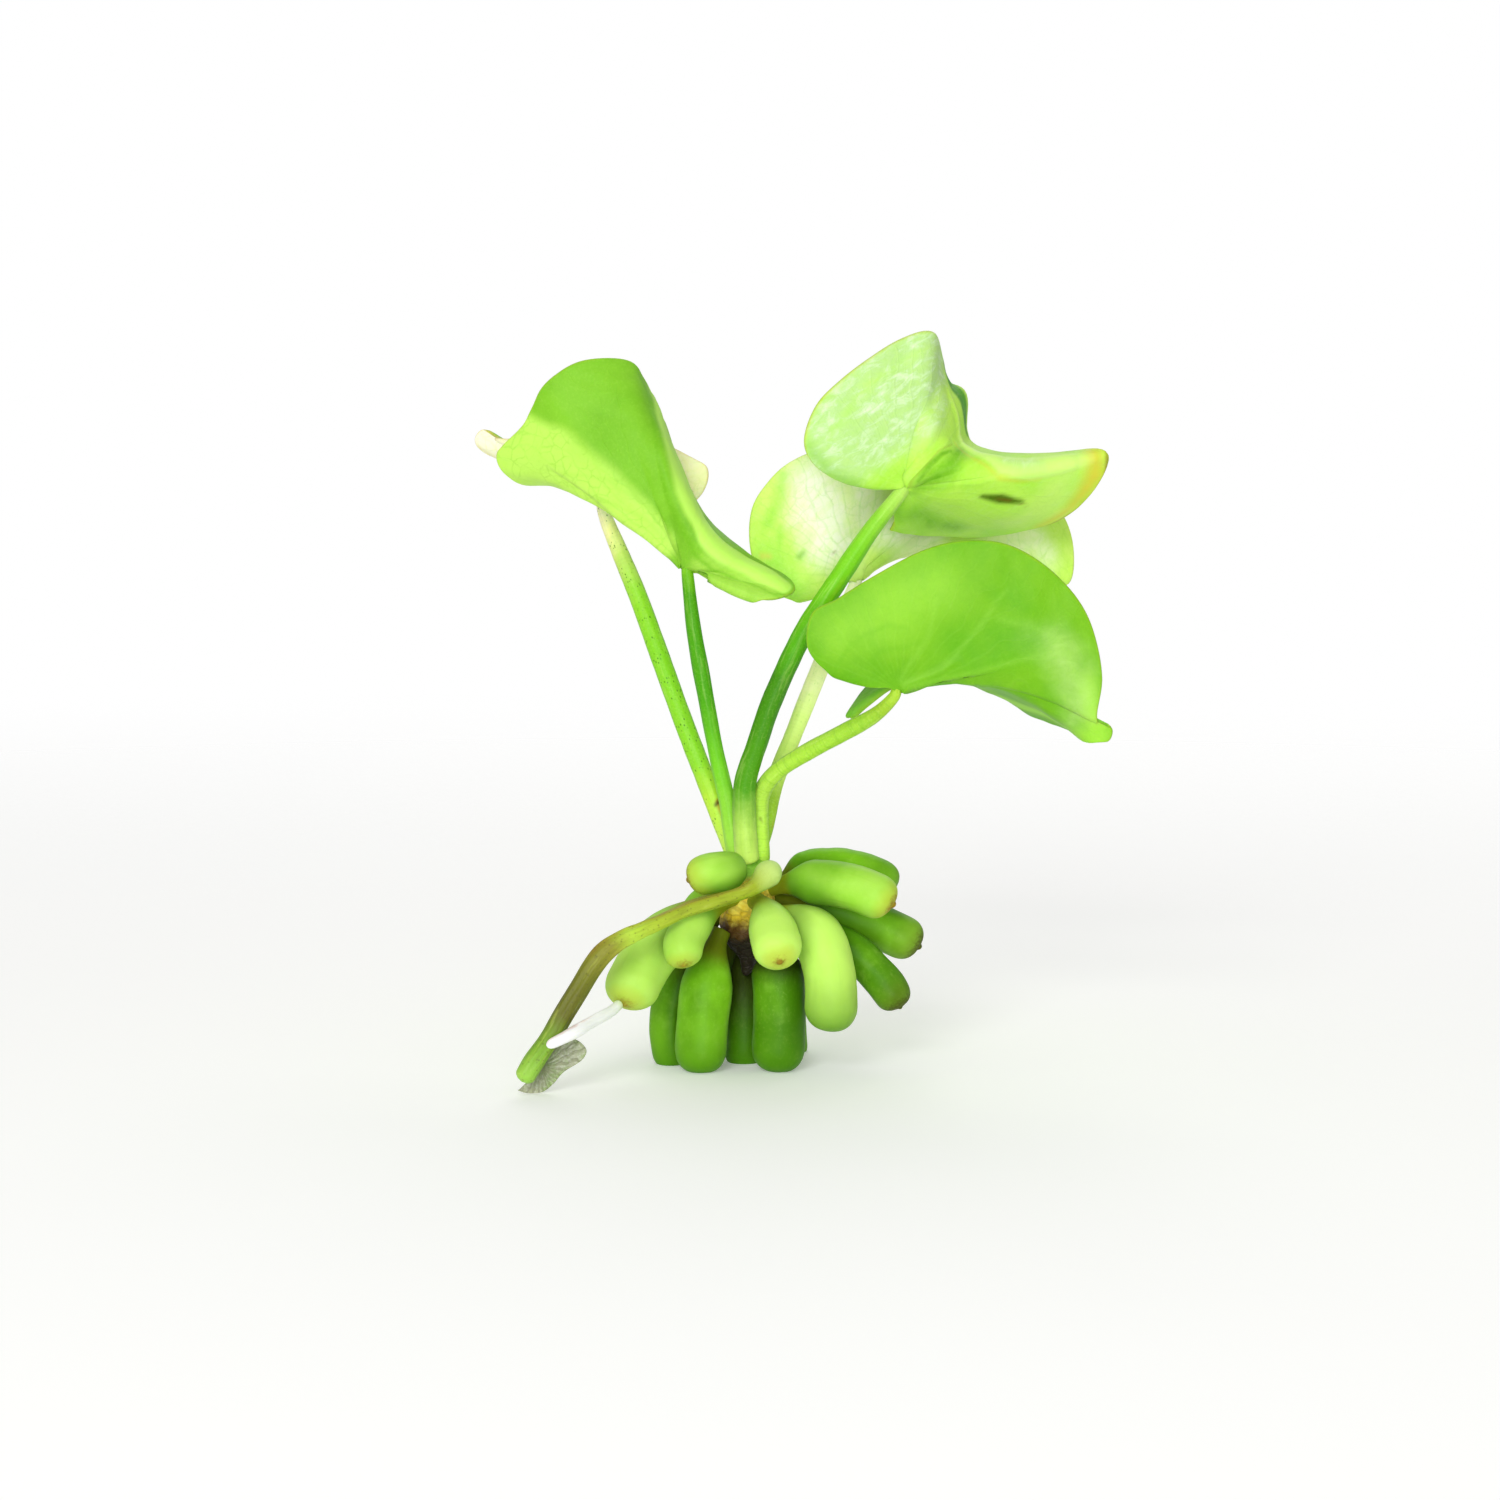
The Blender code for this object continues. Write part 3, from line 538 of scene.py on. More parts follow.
blades = {
    "frontRight": {
        "look": {
            "low": "62a814", "high": "74b41c", "light": "98d43c", "pale": "bcde80", "shade": "58a610",
            "vein": "b0e860", "veins": 0.05, "netTone": "78c428", "net": 0.08, "wisp": "c4e884", "wisps": 0.2,
            "lip": "a0dc42", "topLow": "60a628", "topHigh": "7ec43a", "topLight": "e2fcaa", "rim": "b0ce3c",
        },
        "marks": [
            ("pale", 0.5, 5, (19.5, -2, 2), (22.5, 0, 4), (24.5, 3.5, 5), (25.2, 7, 4), (24, 10, 2)),
            ("light", 1, 3, (26.5, 4, 2), (28, 11.6, 4), (21, 14, 3), (13, 16.5, 4)),
            # painted light on the far lobe, which sits in shade
            ("light", 1, 2, (-3, 3, 2), (-8, 5.2, 4), (-11, 6.5, 4)),
            ("light", 0.6, 7, (-5, -10, 6), (2, -11, 9), (8, -13, 7)),
            # painted shade over a hollow in the middle of the blade
            ("shade", 0.7, 5, (10, -4, 6), (15, -2.5, 7), (19, -2, 5)),
            ("shade", 0.45, 4, (18, -9, 4), (21, -6, 3)),
            ("vein", 0.14, 0.9, (0.7, -1.2, 0.6), (1.8, -2.4, 0.5), (6.2, -6.5, 0.4), (8.5, -11, 0.2)),
            ("vein", 0.2, 0.9, (1, -0.7, 0.6), (6.8, -1.4, 0.5), (12.9, -5.6, 0.5), (18, -9.5, 0.3)),
            # painted shade in the wrinkles of the left lobe
            ("shade", 0.3, 1.1, (-4.9, -7.2, 0.2), (-2.9, -8.6, 0.4), (1.1, -9.2, 0.4), (3.6, -8.1, 0.2)),
            ("shade", 0.3, 1.1, (-3.6, -4.5, 0.2), (-0.8, -6.1, 0.4), (2.6, -5.6, 0.3), (5.7, -5.9, 0.2)),
            ("shade", 0.35, 1.1, (-8.6, -3.8, 0.2), (-6.5, -6.3, 0.5), (-4.2, -8.2, 0.2)),
            ("vein", 0.16, 1, (2, 0, 0.6), (15, 0.1, 0.6), (27, 0.7, 0.4)),
            ("vein", 0.16, 1.2, (16, -6, 0.5), (20.5, -3.5, 0.7), (24, 0.8, 0.9), (25.5, 4.5, 0.7)),
            ("ridge", 0.4, 1.8, (0, 0, 1.6), (4, -0.8, 0.9), (9, -2, 0.3)),
        ],
        "joint": (21, 8.9, -14),
        "rim": [
            (14.3, 10.3, -15), (10.7, 11.9, -15.5), (8.2, 15, -16), (8.9, 19.6, -16.5), (12.4, 21.6, -17),
            (17.4, 24.7, -17.5), (24.4, 28.4, -18), (30.4, 29.9, -18.5), (36.3, 29.5, -18.3),
            (41.4, 26.9, -17.8), (45.9, 22.7, -17), (48.8, 17.6, -16.2), (35.5, 11.6, -16, 50.2, 10.5, -15),
            (35.5, 10, -14.5, 49.6, 4.6, -13.5), (35.6, 9.8, -13.8, 51.7, 3.3, -13),
            (35.7, 9.5, -13, 51.2, 1.3, -12.5), (35, 9.6, -12, 48.6, 1.5, -11.5),
            (33.5, 9.7, -9.5, 46, 3.3, -6), (30.5, 10.2, -6, 41, 5.2, 0), (28, 11, -4, 35.5, 8.4, 5),
            (24, 11.5, -4, 26.5, 11.5, 5), (20.2, 11, -6, 19, 11, 0), (18.2, 8.8, -8.8, 13.7, 5.4, -3.5),
            (18.6, 8, -9.8, 14.3, 4.4, -5),
        ],
    },
    "frontLeft": {
        "look": {
            "low": "72b222", "high": "80c02c", "light": "b8e65c", "pale": "d6f496", "shade": "6cb01a",
            "vein": "7cbe28", "veins": 0.2, "netTone": "80c22c", "net": 0.32, "wisp": "c4ec6e", "wisps": 0.06,
            "lip": "c2f466", "topLow": "408614", "topHigh": "62aa22", "topLight": "96d654", "rim": "c4ce50",
        },
        "marks": [
            # painted light: the lower band, lit through the single layer of the blade
            ("light", 1, 2.2, (27.5, -16, 10), (21, -11.5, 13), (15, -7.5, 10.5), (9.5, -4.2, 7.5),
                (4.5, -1.2, 4)),
            ("light", 0.6, 2.5, (-1, 2.8, 3), (-5.5, 4.2, 5), (-10, 5.8, 6)),
            # painted light on the outer side of the rolled lip
            ("light", 0.7, 1.2, (26.5, 7.4, 1.2), (19, 8, 2.2), (13.8, 8.4, 2.2), (9, 8, 1.6)),
            # painted shadow over the upper part, cast by the blade folded behind it
            ("shade", 0.45, 8, (22, -1, 7), (14, 2, 5)),
            ("vein", 0.24, 0.7, (1, 0.2, 0.4), (4.5, -0.5, 0.4), (9.5, -0.8, 0.4), (16.1, -3.9, 0.35),
                (22, -12.8, 0.2)),
            ("vein", 0.2, 0.7, (4.5, -0.8, 0.4), (8.9, -1.8, 0.4), (14.9, -6.7, 0.35), (20, -13.3, 0.2)),
            # painted highlight: the rolled lip catching the light
            ("lip", 1, 0.6, (29.5, 6.6, 0.3), (26.3, 6.8, 0.9), (19.1, 6.5, 2.2), (13.9, 5.8, 3),
                (9.8, 5.2, 3.5), (6.7, 5, 3.6), (2.9, 5.3, 3.4), (-1.5, 6.3, 3.2), (-5.6, 8, 2.8),
                (-10.8, 9.6, 2)),
            ("ridge", 0.3, 1.2, (27.5, 6.9, 0.3), (19.1, 6.6, 1.4), (13.9, 5.9, 2.2), (9.8, 5.3, 2.7),
                (6.7, 5.1, 2.8), (2.9, 5.4, 2.6), (-1.5, 6.4, 2.4), (-5.6, 8.1, 2), (-10.4, 9.6, 1.4)),
            # painted shade: a dark line in the crease inside the lip
            ("shade", 0.8, 0.7, (29, 5.2, 0.2), (26.1, 5.6, 0.3), (18.7, 4.6, 0.5), (13.3, 3.4, 0.6),
                (9.1, 2.5, 0.6), (5.9, 2.3, 0.6), (2.1, 2.6, 0.6), (-2.5, 3.8, 0.5), (-6.7, 5.8, 0.4),
                (-11.5, 8, 0.2)),
            ("ridge", 0.4, 1.8, (0, 0, 1.6), (4.5, 0.6, 0.9), (9, 0.4, 0.3)),
        ],
        "joint": (-9, 26.4, -2),
        "rim": [
            (-6.6, 25.6, 0.5, -3.2, 24, 3), (-7.8, 28, 3, -5, 28.5, 8), (-10.2, 32.2, 4, -11, 35.8, 11.5),
            (-13.5, 35, 4, -17, 40.5, 11), (-18, 36, 3, -24, 41.3, 10), (-20.8, 35.8, 1.8, -31, 38.5, 8),
            (-21.8, 35.9, 1, -34.8, 39.9, 5.5), (-22.5, 36.1, 0.5, -36.1, 42.1, 4),
            (-23, 37.5, -0.5, -35.1, 43.6, 3), (-32.3, 46.3, 1.5), (-30.8, 49.2, 0.5), (-29.1, 52.3, -0.5),
            (-25, 55.1, -0.5), (-15.9, 41.6, -2.8, -20.5, 55.8, 0), (-14.8, 42.2, -3, -17, 55.1, 1.5),
            (-13.7, 42.5, -3, -15.4, 52.4, 4), (-12.6, 42.1, -3, -13.5, 47.9, 7),
            (-10.5, 37.8, -3, -11, 40.9, 9), (-8.1, 33, -3.2, -8, 34.5, 9), (-5.8, 29.9, -3.5, -5, 30.9, 8),
            (-2.8, 26.8, -4, -0.3, 27.3, 4), (-1.2, 25.4, -4, 4.9, 24.3, -1.5), (6.3, 22.4, -4),
            (2.9, 21.3, -5), (-0.8, 22.4, -4.5), (-4.8, 25.2, -3),
        ],
    },
    "upperRight": {
        "look": {
            "low": "a8e440", "high": "bcec56", "light": "ccf078", "pale": "b4d88c", "shade": "6eb41c",
            "vein": "ceec8e", "veins": 0.06, "netTone": "8ac83c", "net": 0.08, "wisp": "e0f6cc", "wisps": 0.9,
            "lip": "cef480", "topLow": "347e10", "topHigh": "54a41c", "topLight": "96d654",
            "topVein": "8cc446", "rim": "c4c840", "rimStrength": 0.5, "brown": "54760a", "orange": "d8c43c",
        },
        "marks": [
            ("pale", 1, 4, (14, -12, 6), (3, -10, 11), (-5, -9, 8)),
            ("pale", 1, 3, (-9, -9, 4), (-6, -14, 4), (3, -17, 4), (12, -16, 4), (17, -12.5, 2)),
            ("pale", 0.6, 3, (4, -4, 2), (9, -4.6, 3), (13, -7, 2)),
            ("light", 0.3, 3, (2, -2.5, 1.5), (8, -4, 2), (13, -7.5, 1)),
            # painted light on the right half, which faces down into shade
            ("light", 0.6, 5, (6, 17, 5), (12, 18, 6), (14.8, 16.2, 6)),
            ("shade", 0.5, 2.5, (-8.8, -12.5, 1.5), (-8, -8, 1.5), (-5.5, -5, 1)),
            # painted shade in the crease by the joint
            ("shade", 1, 2.5, (1.5, 1.2, 1.2), (5.5, 2.4, 2.8), (9.4, 2.2, 2.2)),
            ("shade", 1, 0.8, (2.3, 0.6, 0.6), (4.7, 0.3, 0.9), (6.6, 0.3, 0.9), (8, 1, 0.8)),
            # painted shadow: a dark band above the lower rim
            ("shade", 0.8, 4, (-2.5, 5, 3), (-2.7, 9, 4), (-1, 13, 3)),
            ("deep", 1, 1.3, (18.6, -13.8, 2.2), (20.6, -9.5, 4.2), (20.6, -5, 4.6), (20.4, -1, 4.4),
                (21.5, 3.5, 2)),
            # painted highlight: the rolled lip
            ("lip", 0.9, 0.7, (16.5, -8.8, 0.2), (15.2, -5.9, 0.3), (14.9, -2.5, 0.8), (14, -0.7, 1.4),
                (12.8, 1.2, 1.8), (11.2, 5, 2), (11.6, 7.8, 2.2), (13.9, 10.9, 2.2), (16.2, 12.9, 1.8),
                (18.7, 14.9, 1.4), (21, 16.6, 1)),
            # painted highlight: a whitish glint on the lip
            ("pale", 1, 1.6, (12, 7.8, 0.6), (13.6, 10, 1.1), (15.4, 11.9, 0.6)),
            ("ridge", 0.3, 1.2, (16.5, -8.8, 0.5), (15.2, -5.9, 0.9), (14.9, -2.5, 1.2), (12.8, 1.2, 1.5),
                (11.2, 5, 1.6), (11.6, 7.8, 1.7), (13.9, 10.9, 1.7), (16.2, 12.9, 1.3), (18.7, 14.9, 0.9)),
            ("orange", 0.5, 0.8, (10.4, 0, 0.2), (9.3, 4.6, 0.3), (10.2, 8.2, 0.4), (12.2, 10.8, 0.4),
                (14.2, 12.6, 0.2)),
            ("warm", 0.35, 0.5, (0.8, 0.2, 0.15), (4.5, -0.2, 0.2), (6.6, -0.6, 0.2), (9.5, 0.2, 0.1)),
            ("ridge", 0.45, 1.8, (0, 0, 2), (4, -0.3, 1.4), (9, -0.8, 0.5)),
            ("brown", 1, 1, (6.8, 8.8, 0.7), (8.3, 11, 1.7), (9.9, 13.6, 0.7)),
            ("warm", 0.6, 0.6, (8, 10.6, 0.3), (8.9, 12.2, 0.5)),
            ("warm", 0.5, 0.7, (9.7, 13.8, 0.1), (10, 14.8, 0.2)),
            ("orange", 0.9, 3.2, (21.5, 17, 2.2), (20, 18.6, 3), (17, 19.8, 2.2), (13.5, 21, 1.2),
                (8, 21.4, 0.5)),
            ("warm", 0.75, 0.7, (22.6, 18.2, 0.4), (21, 20, 0.5), (18, 21.3, 0.4), (13.8, 22.1, 0.2),
                (7.6, 22.2, 0.1)),
        ],
        "joint": (22.1, 37.9, -8),
        "rim": [
            (17.4, 38, -9), (12.6, 39.1, -10.5), (8.9, 41.3, -12), (7.7, 44.5, -13), (9.4, 49.3, -13.8),
            (12.9, 52.9, -13.8), (17.1, 56.1, -13.2), (21.4, 58.7, -12), (25.7, 59.8, -10.5),
            (25, 48, -10, 26.7, 56.3, -3), (26.4, 47.2, -9.5, 28.1, 52.3, 2.5),
            (26.8, 45.4, -8.9, 30.2, 50.6, 4.5), (27.6, 43.4, -8.4, 30.4, 45.6, 6),
            (28.6, 42.2, -8.2, 31.6, 43.2, 6), (30.3, 41.2, -8.2, 35.2, 41.8, 3),
            (33, 40.6, -8, 42.9, 41.6, -1), (50, 42.6, -5.5), (51, 41.2, -5), (48.6, 37.2, -2),
            (44.4, 33.5, 1.5), (38.6, 31.7, 4.5), (32.9, 31.1, 6), (27, 31.1, 4.5),
            (21.9, 34.3, -4.5, 22.6, 31.3, 1), (21.3, 34.8, -3.8, 19.8, 31.6, -1.2),
        ],
    },
    "backRight": {
        "look": {
            "low": "c0ec5c", "high": "d6f676", "light": "e8faa8", "pale": "f6fcdc", "shade": "96de3c",
            "vein": "a4de54", "veins": 0.2, "netTone": "9ed448", "net": 0.2, "wisp": "faffe4", "wisps": 0.5,
            "lip": "e2f6aa", "topLow": "468c1a", "topHigh": "6cb22a", "topLight": "a0dc60",
            "topVein": "96cc54", "rim": "c4d664", "rimStrength": 0.4, "brown": "6eb024", "orange": "e2c860",
        },
        "marks": [
            ("pale", 1, 6, (8, -14, 6), (5.5, -10, 9), (2, -6, 7)),
            ("pale", 0.7, 5, (12, -7, 5), (7, -3, 5), (10, 6, 5)),
            # painted light on the right half, against the shadow of the blade in front of it
            ("light", 1, 5, (6, 8, 8), (4, 16, 8), (0, 22, 6)),
            ("pale", 0.5, 4, (23, 19, 3), (22, 16.5, 4), (16, 15, 4)),
            ("shade", 0.8, 4, (-5, -12, 4), (-7, -7, 5)),
            ("shade", 0.7, 2.4, (-1, -15, 1.5), (3, -16, 1.5), (6, -17.5, 1)),
            ("shade", 0.8, 1.6, (-3.4, -11.4, 0.8), (-0.6, -13.2, 0.6)),
            ("brown", 0.8, 1.4, (-2.2, -8.6, 0.6), (-1.4, -8.4, 0.4)),
            ("orange", 0.8, 1.6, (-5.5, -12.9, 0.5), (-4.9, -12.1, 0.4)),
            ("warm", 0.5, 0.4, (0.6, -5, 0.1), (1.4, -4.6, 0.2)),
            ("ridge", 0.35, 1.8, (0, 0, 1.6), (4, 0.5, 0.9), (9, 2, 0.3)),
        ],
        "joint": (15.3, 24.7, 8),
        "rim": [
            (11, 24, 7.8), (5.9, 21.6, 8), (1.6, 24.5, 8.5), (0, 29.3, 9), (0.3, 34.3, 9.5), (2.4, 38, 10),
            (6, 41.2, 10.5), (11, 43, 12), (18.5, 44, 14), (27, 43, 16), (26.5, 33.5, 11.5, 36, 39.3, 17),
            (29.3, 33, 11.2, 43, 35.3, 16), (30.4, 31.7, 11, 45.9, 29.5, 14.5),
            (28.2, 29, 11.6, 45.6, 24, 14), (28.4, 31.4, 13.2, 41.5, 26.5, 20),
            (26.8, 32.4, 15.5, 35, 30, 26), (21.5, 30.5, 16, 25, 31.5, 28), (15.5, 29, 15.5, 14.5, 31.5, 24),
            (12.5, 27, 13, 7.5, 28, 18), (13, 25.9, 11, 9.5, 25.5, 13),
        ],
    },
    "backLeft": {
        "slot": "leaf_pale",
        "look": {
            "low": "f4f8b0", "high": "fafac8", "light": "fcfcdc", "pale": "fcfce8", "shade": "d2e47c",
            "vein": "e2e88c", "veins": 0.2, "netTone": "d8e082", "net": 0.2, "wisp": "fcfce8", "wisps": 0.2,
            "lip": "f8f8cc", "topLow": "80b43c", "topHigh": "a4d054", "topLight": "c4e278",
            "topVein": "cee08c", "rim": "e2be64", "rimStrength": 0.45, "brown": "966e32", "orange": "e6c86e",
        },
        "marks": [
            ("light", 0.8, 3, (18, -6.5, 4), (20, -7.5, 3)),
            ("orange", 0.35, 1.2, (17, -9.5, 0.8), (20.5, -9, 0.8)),
            ("ridge", 0.3, 1.8, (0, 0, 1.5), (8, 0, 0.5)),
        ],
        "joint": (-21.3, 37, 14.5),
        "rim": [
            (-12, 38.5, 20), (-13, 40, 26), (-18, 42, 30), (-26, 42, 31), (-33, 42, 28), (-37.4, 43, 25),
            (-38.9, 44.6, 23), (-37.6, 45.8, 22), (-35.7, 44.6, 20), (-32, 44.8, 18), (-26, 47, 18),
            (-18, 46.5, 18), (-12, 43.5, 16), (-7.8, 41.3, 14), (-6.1, 40.2, 13.5), (-6.2, 38, 13.5),
            (-7.6, 36, 13.6), (-10.3, 35.8, 14),
        ],
    },
}


for number, (key, blade) in enumerate(blades.items()):
    blade = {**bladeShape, **blade, "node": nodeName(key, "leaf"), "seed": 11 + 2 * number}
    makeSheet(key + "Blade", blade, leafSkin(key + "Skin", {**leafLook, **blade["look"]}))
print("banana lily: five blades made")

# Tubers: each a tube from a narrow neck to a blunt tip

# inside: how far a neck runs on into the rootstock; even: how evenly the rings stand, which crowd at the tip
# lit and dark: the gap over which the painted shade between tubers fades from dark to lit; under: how much
# painted shade the sides that face down get
tuberShape = {"around": 96, "along": 96, "even": 0.35, "neckShare": 0.36, "neckLength": 0.5, "gap": 0.35,
              "lumpRoom": 0.5, "inside": 1.7, "pace": 0.8, "ridges": 0.012, "nub": 0.12, "nubWidth": 0.2,
              "blunt": 2.4, "lit": 4.6, "dark": -0.2, "under": 0.8}
# height on the rootstock, middle, tip, radius, tint (0 deep to 1 pale, the tuber's own green with painted
# shade and light for where it sits in the bunch), brown at the tip
tubers = {
    "leftUpper": (-17.6, (-4.6, -17.4, -8.2), (-9.1, -18.7, -8.7), 2.85, 0.7, 1),
    "leftFront": (-21.5, (-12.8, -27.5, -6), (-18, -36.6, -12), 3.9, 0.86, 0.8),
    "leftSmall": (-21.5, (-8.4, -25.4, -11.2), (-9.4, -31, -15.8), 2.75, 0.72, 0.8),
    "leftLow": (-27.2, (-10.8, -34.9, 1.8), (-10.6, -45.4, 2.2), 2.9, 0.32, 0),
    "frontLow": (-26.6, (-6.3, -34.5, -3.5), (-7.1, -46.2, -4), 3.7, 0.42, 0),
    "middleLow": (-28, (-0.8, -36, 3.5), (-0.8, -45.4, 4), 3, 0, 0),
    "rightLow": (-27.2, (4.15, -35.5, -3.5), (3.8, -46, -3.2), 3.75, 0.12, 0),
    "frontMiddle": (-21.8, (2.9, -24.7, -10), (4.3, -30.5, -16.5), 3.45, 1, 1),
    "rightFront": (-23.4, (10.2, -27.9, -7.7), (11.3, -40.1, -8), 3.65, 1, 0),
    "rightSide": (-19.4, (12.7, -19.2, -6), (20.8, -22.3, -8.5), 3.22, 0.66, 1),
    "rightUpper": (-19, (12.4, -16.8, 3), (20.9, -19.8, 4), 2.9, 0.4, 0.4),
    "rightEnd": (-21.7, (15.2, -24, 2.8), (24.5, -28.3, 3.2), 3.2, 0.45, 0.9),
    "rightLower": (-24.5, (14.4, -28.6, -1.6), (21.6, -37, -3), 2.7, 0.15, 0.8),
    "backLeft": (-18.3, (-7, -23, 9.6), (-11, -30.5, 15.8), 2.8, 0.6, 0.8),
    "backSide": (-23.3, (-8.9, -29, 6.2), (-11.9, -37.2, 9.2), 2.5, 0.4, 0.8),
    "backMiddle": (-20.5, (0.6, -22.5, 10), (0.4, -29.5, 18), 3.1, 0.7, 0.8),
    "backRight": (-20.5, (8, -22.5, 9), (12, -29.5, 15.5), 3.3, 0.6, 0.9),
    "backLow": (-26.5, (4.7, -34.5, 9.5), (5.5, -44.6, 12.5), 2.8, 0.3, 0),
    "backLowLeft": (-25.5, (-4.8, -34.2, 11), (-6.2, -44.5, 15), 2.9, 0.3, 0),
}
# where they aren't the usual: the neck's length, and how far the tip's brown and the neck's dark reach; the
# neck's dark is painted shade on the deepest tubers
neckLengths = {
    "leftUpper": 0.22, "rightUpper": 0.22, "rightSide": 0.3, "frontMiddle": 0.7, "rightLow": 0.3,
    "rightFront": 0.42,
}
tipReaches = {"rightEnd": 3.4, "rightLower": 3, "leftUpper": 2.2, "rightSide": 1.8, "leftFront": 1.2}
neckReaches = {
    "middleLow": 2.2, "rightLow": 2, "leftLow": 1.2, "rightEnd": 0.6, "rightSide": 0.7, "rightFront": 0.6,
}
# sun is painted light, and shade and dark are painted shade; deep is the tubers' own green and also painted
# shade
tuberTones = {
    "deep": "488006", "fresh": "86ca22", "sun": "ccf470", "streak": "468208", "neck": "969e18",
    "tip": "845816", "tipEdge": "b4b828", "dark": "282606", "olive": "545e08", "shade": "346204",
    "burnt": "3e320a",
}


def tuberSkin():
    skin = Skin("tuberSkin")
    share, tintAndShade, tipLeft = skin.parts("grow")
    brownTip, neckShare, paintedShade = skin.parts("extra")
    rope, tone = skin.layer("rope"), tuberTones
    streaks = skin.noise(skin.scaled(rope, 1, 1, 0.1), 0.85, 4, 0.6)
    drift = skin.noise(rope, 0.14) - 0.5
    patchy = skin.noise(rope, 0.5, 4, 0.6)
    grain = skin.noise(rope, 2.4, 4, 0.65)
    further = share + drift * 0.3
    neck = (neckShare + drift * 0.2).ease(0.75, 0.3)
    edge = (tipLeft + drift * 1.6).ease(1.6, 0.2) * brownTip
    brown = (tipLeft + (grain - 0.5) * 0.7).ease(0.55, 0.1) * brownTip
    body = skin.over(
        # painted light and shade: the tint mixes from deep green through fresh green to a sunlit pale
        skin.mix((tintAndShade + drift * 0.7).ease(0, 0.6), tone["deep"], tone["fresh"]),
        ((tintAndShade + drift * 0.6 - 0.4).ease(0, 0.6) * 0.8, tone["sun"]),
        (streaks.ease(0.52, 0.75) * (0.2 - tintAndShade * 0.12), tone["streak"]),
        (patchy.ease(0.5, 0.75) * 0.1, tone["sun"]),
        (grain.ease(0.5, 0.8) * 0.12, tone["sun"]),
        # painted shade: the sides that face down or another tuber are deeper green
        ((paintedShade + drift * 0.3).ease(0.1, 1) * (0.9 - tintAndShade * 0.5), tone["shade"]),
        # painted shade and light: the ones that end at the ground are darker below, the others darker above
        # and brighter towards the tip
        (further.ease(0.45, 1) * (0.85 - brownTip * 0.75), tone["deep"]),
        (further.ease(0.6, 0.25) * brownTip * 0.38, tone["streak"]),
        (further.ease(0.5, 0.9) * brownTip * tintAndShade * 0.4, tone["sun"]),
        # painted shade: the neck is nearly black on the deepest ones, which sit in the dark gap under the
        # rootstock
        (neck * 0.85, skin.mix(tintAndShade.ease(0.2, 0.7), tone["dark"], tone["neck"])),
        (edge * 0.6, skin.mix(tintAndShade.ease(0.48, 0.62), tone["olive"], tone["tipEdge"])),
        (brown * 0.85, skin.mix(tintAndShade.ease(0.45, 0.65), tone["burnt"], tone["tip"])),
    )
    height = streaks * 0.04 + grain * 0.02 + patchy * 0.05 + brown * grain * 0.1 + neck * grain * 0.1
    return skin.finish({
        "IOR": 1.4, "Specular IOR Level": 0.12, "Coat Weight": 0.04, "Coat Roughness": 0.35,
        **flesh(0.25, (0.7, 1.0, 0.1), 0.0025),
        "Base Color": body,
        "Roughness": grain * 0.14 + 0.4 + brown * 0.25 + neck * 0.15,
        "Normal": skin.bump(height),
    })


def tuberSpine(tuber, t):
    # bow(root, middle, tip, t); below t = 0 it runs on into the rootstock
    height, middle, tip = tuber[:3]
    out = np.array((middle[0] - rootstock["at"][0], middle[2] - rootstock["at"][2]))
    out = out / np.linalg.norm(out) * (rootstock["radius"] + tuberShape["gap"] + tuberShape["lumpRoom"])
    root = sighted((rootstock["at"][0] + out[0], height, rootstock["at"][2] + out[1]))
    return bow(root, sighted(middle), sighted(tip), t[:, None])


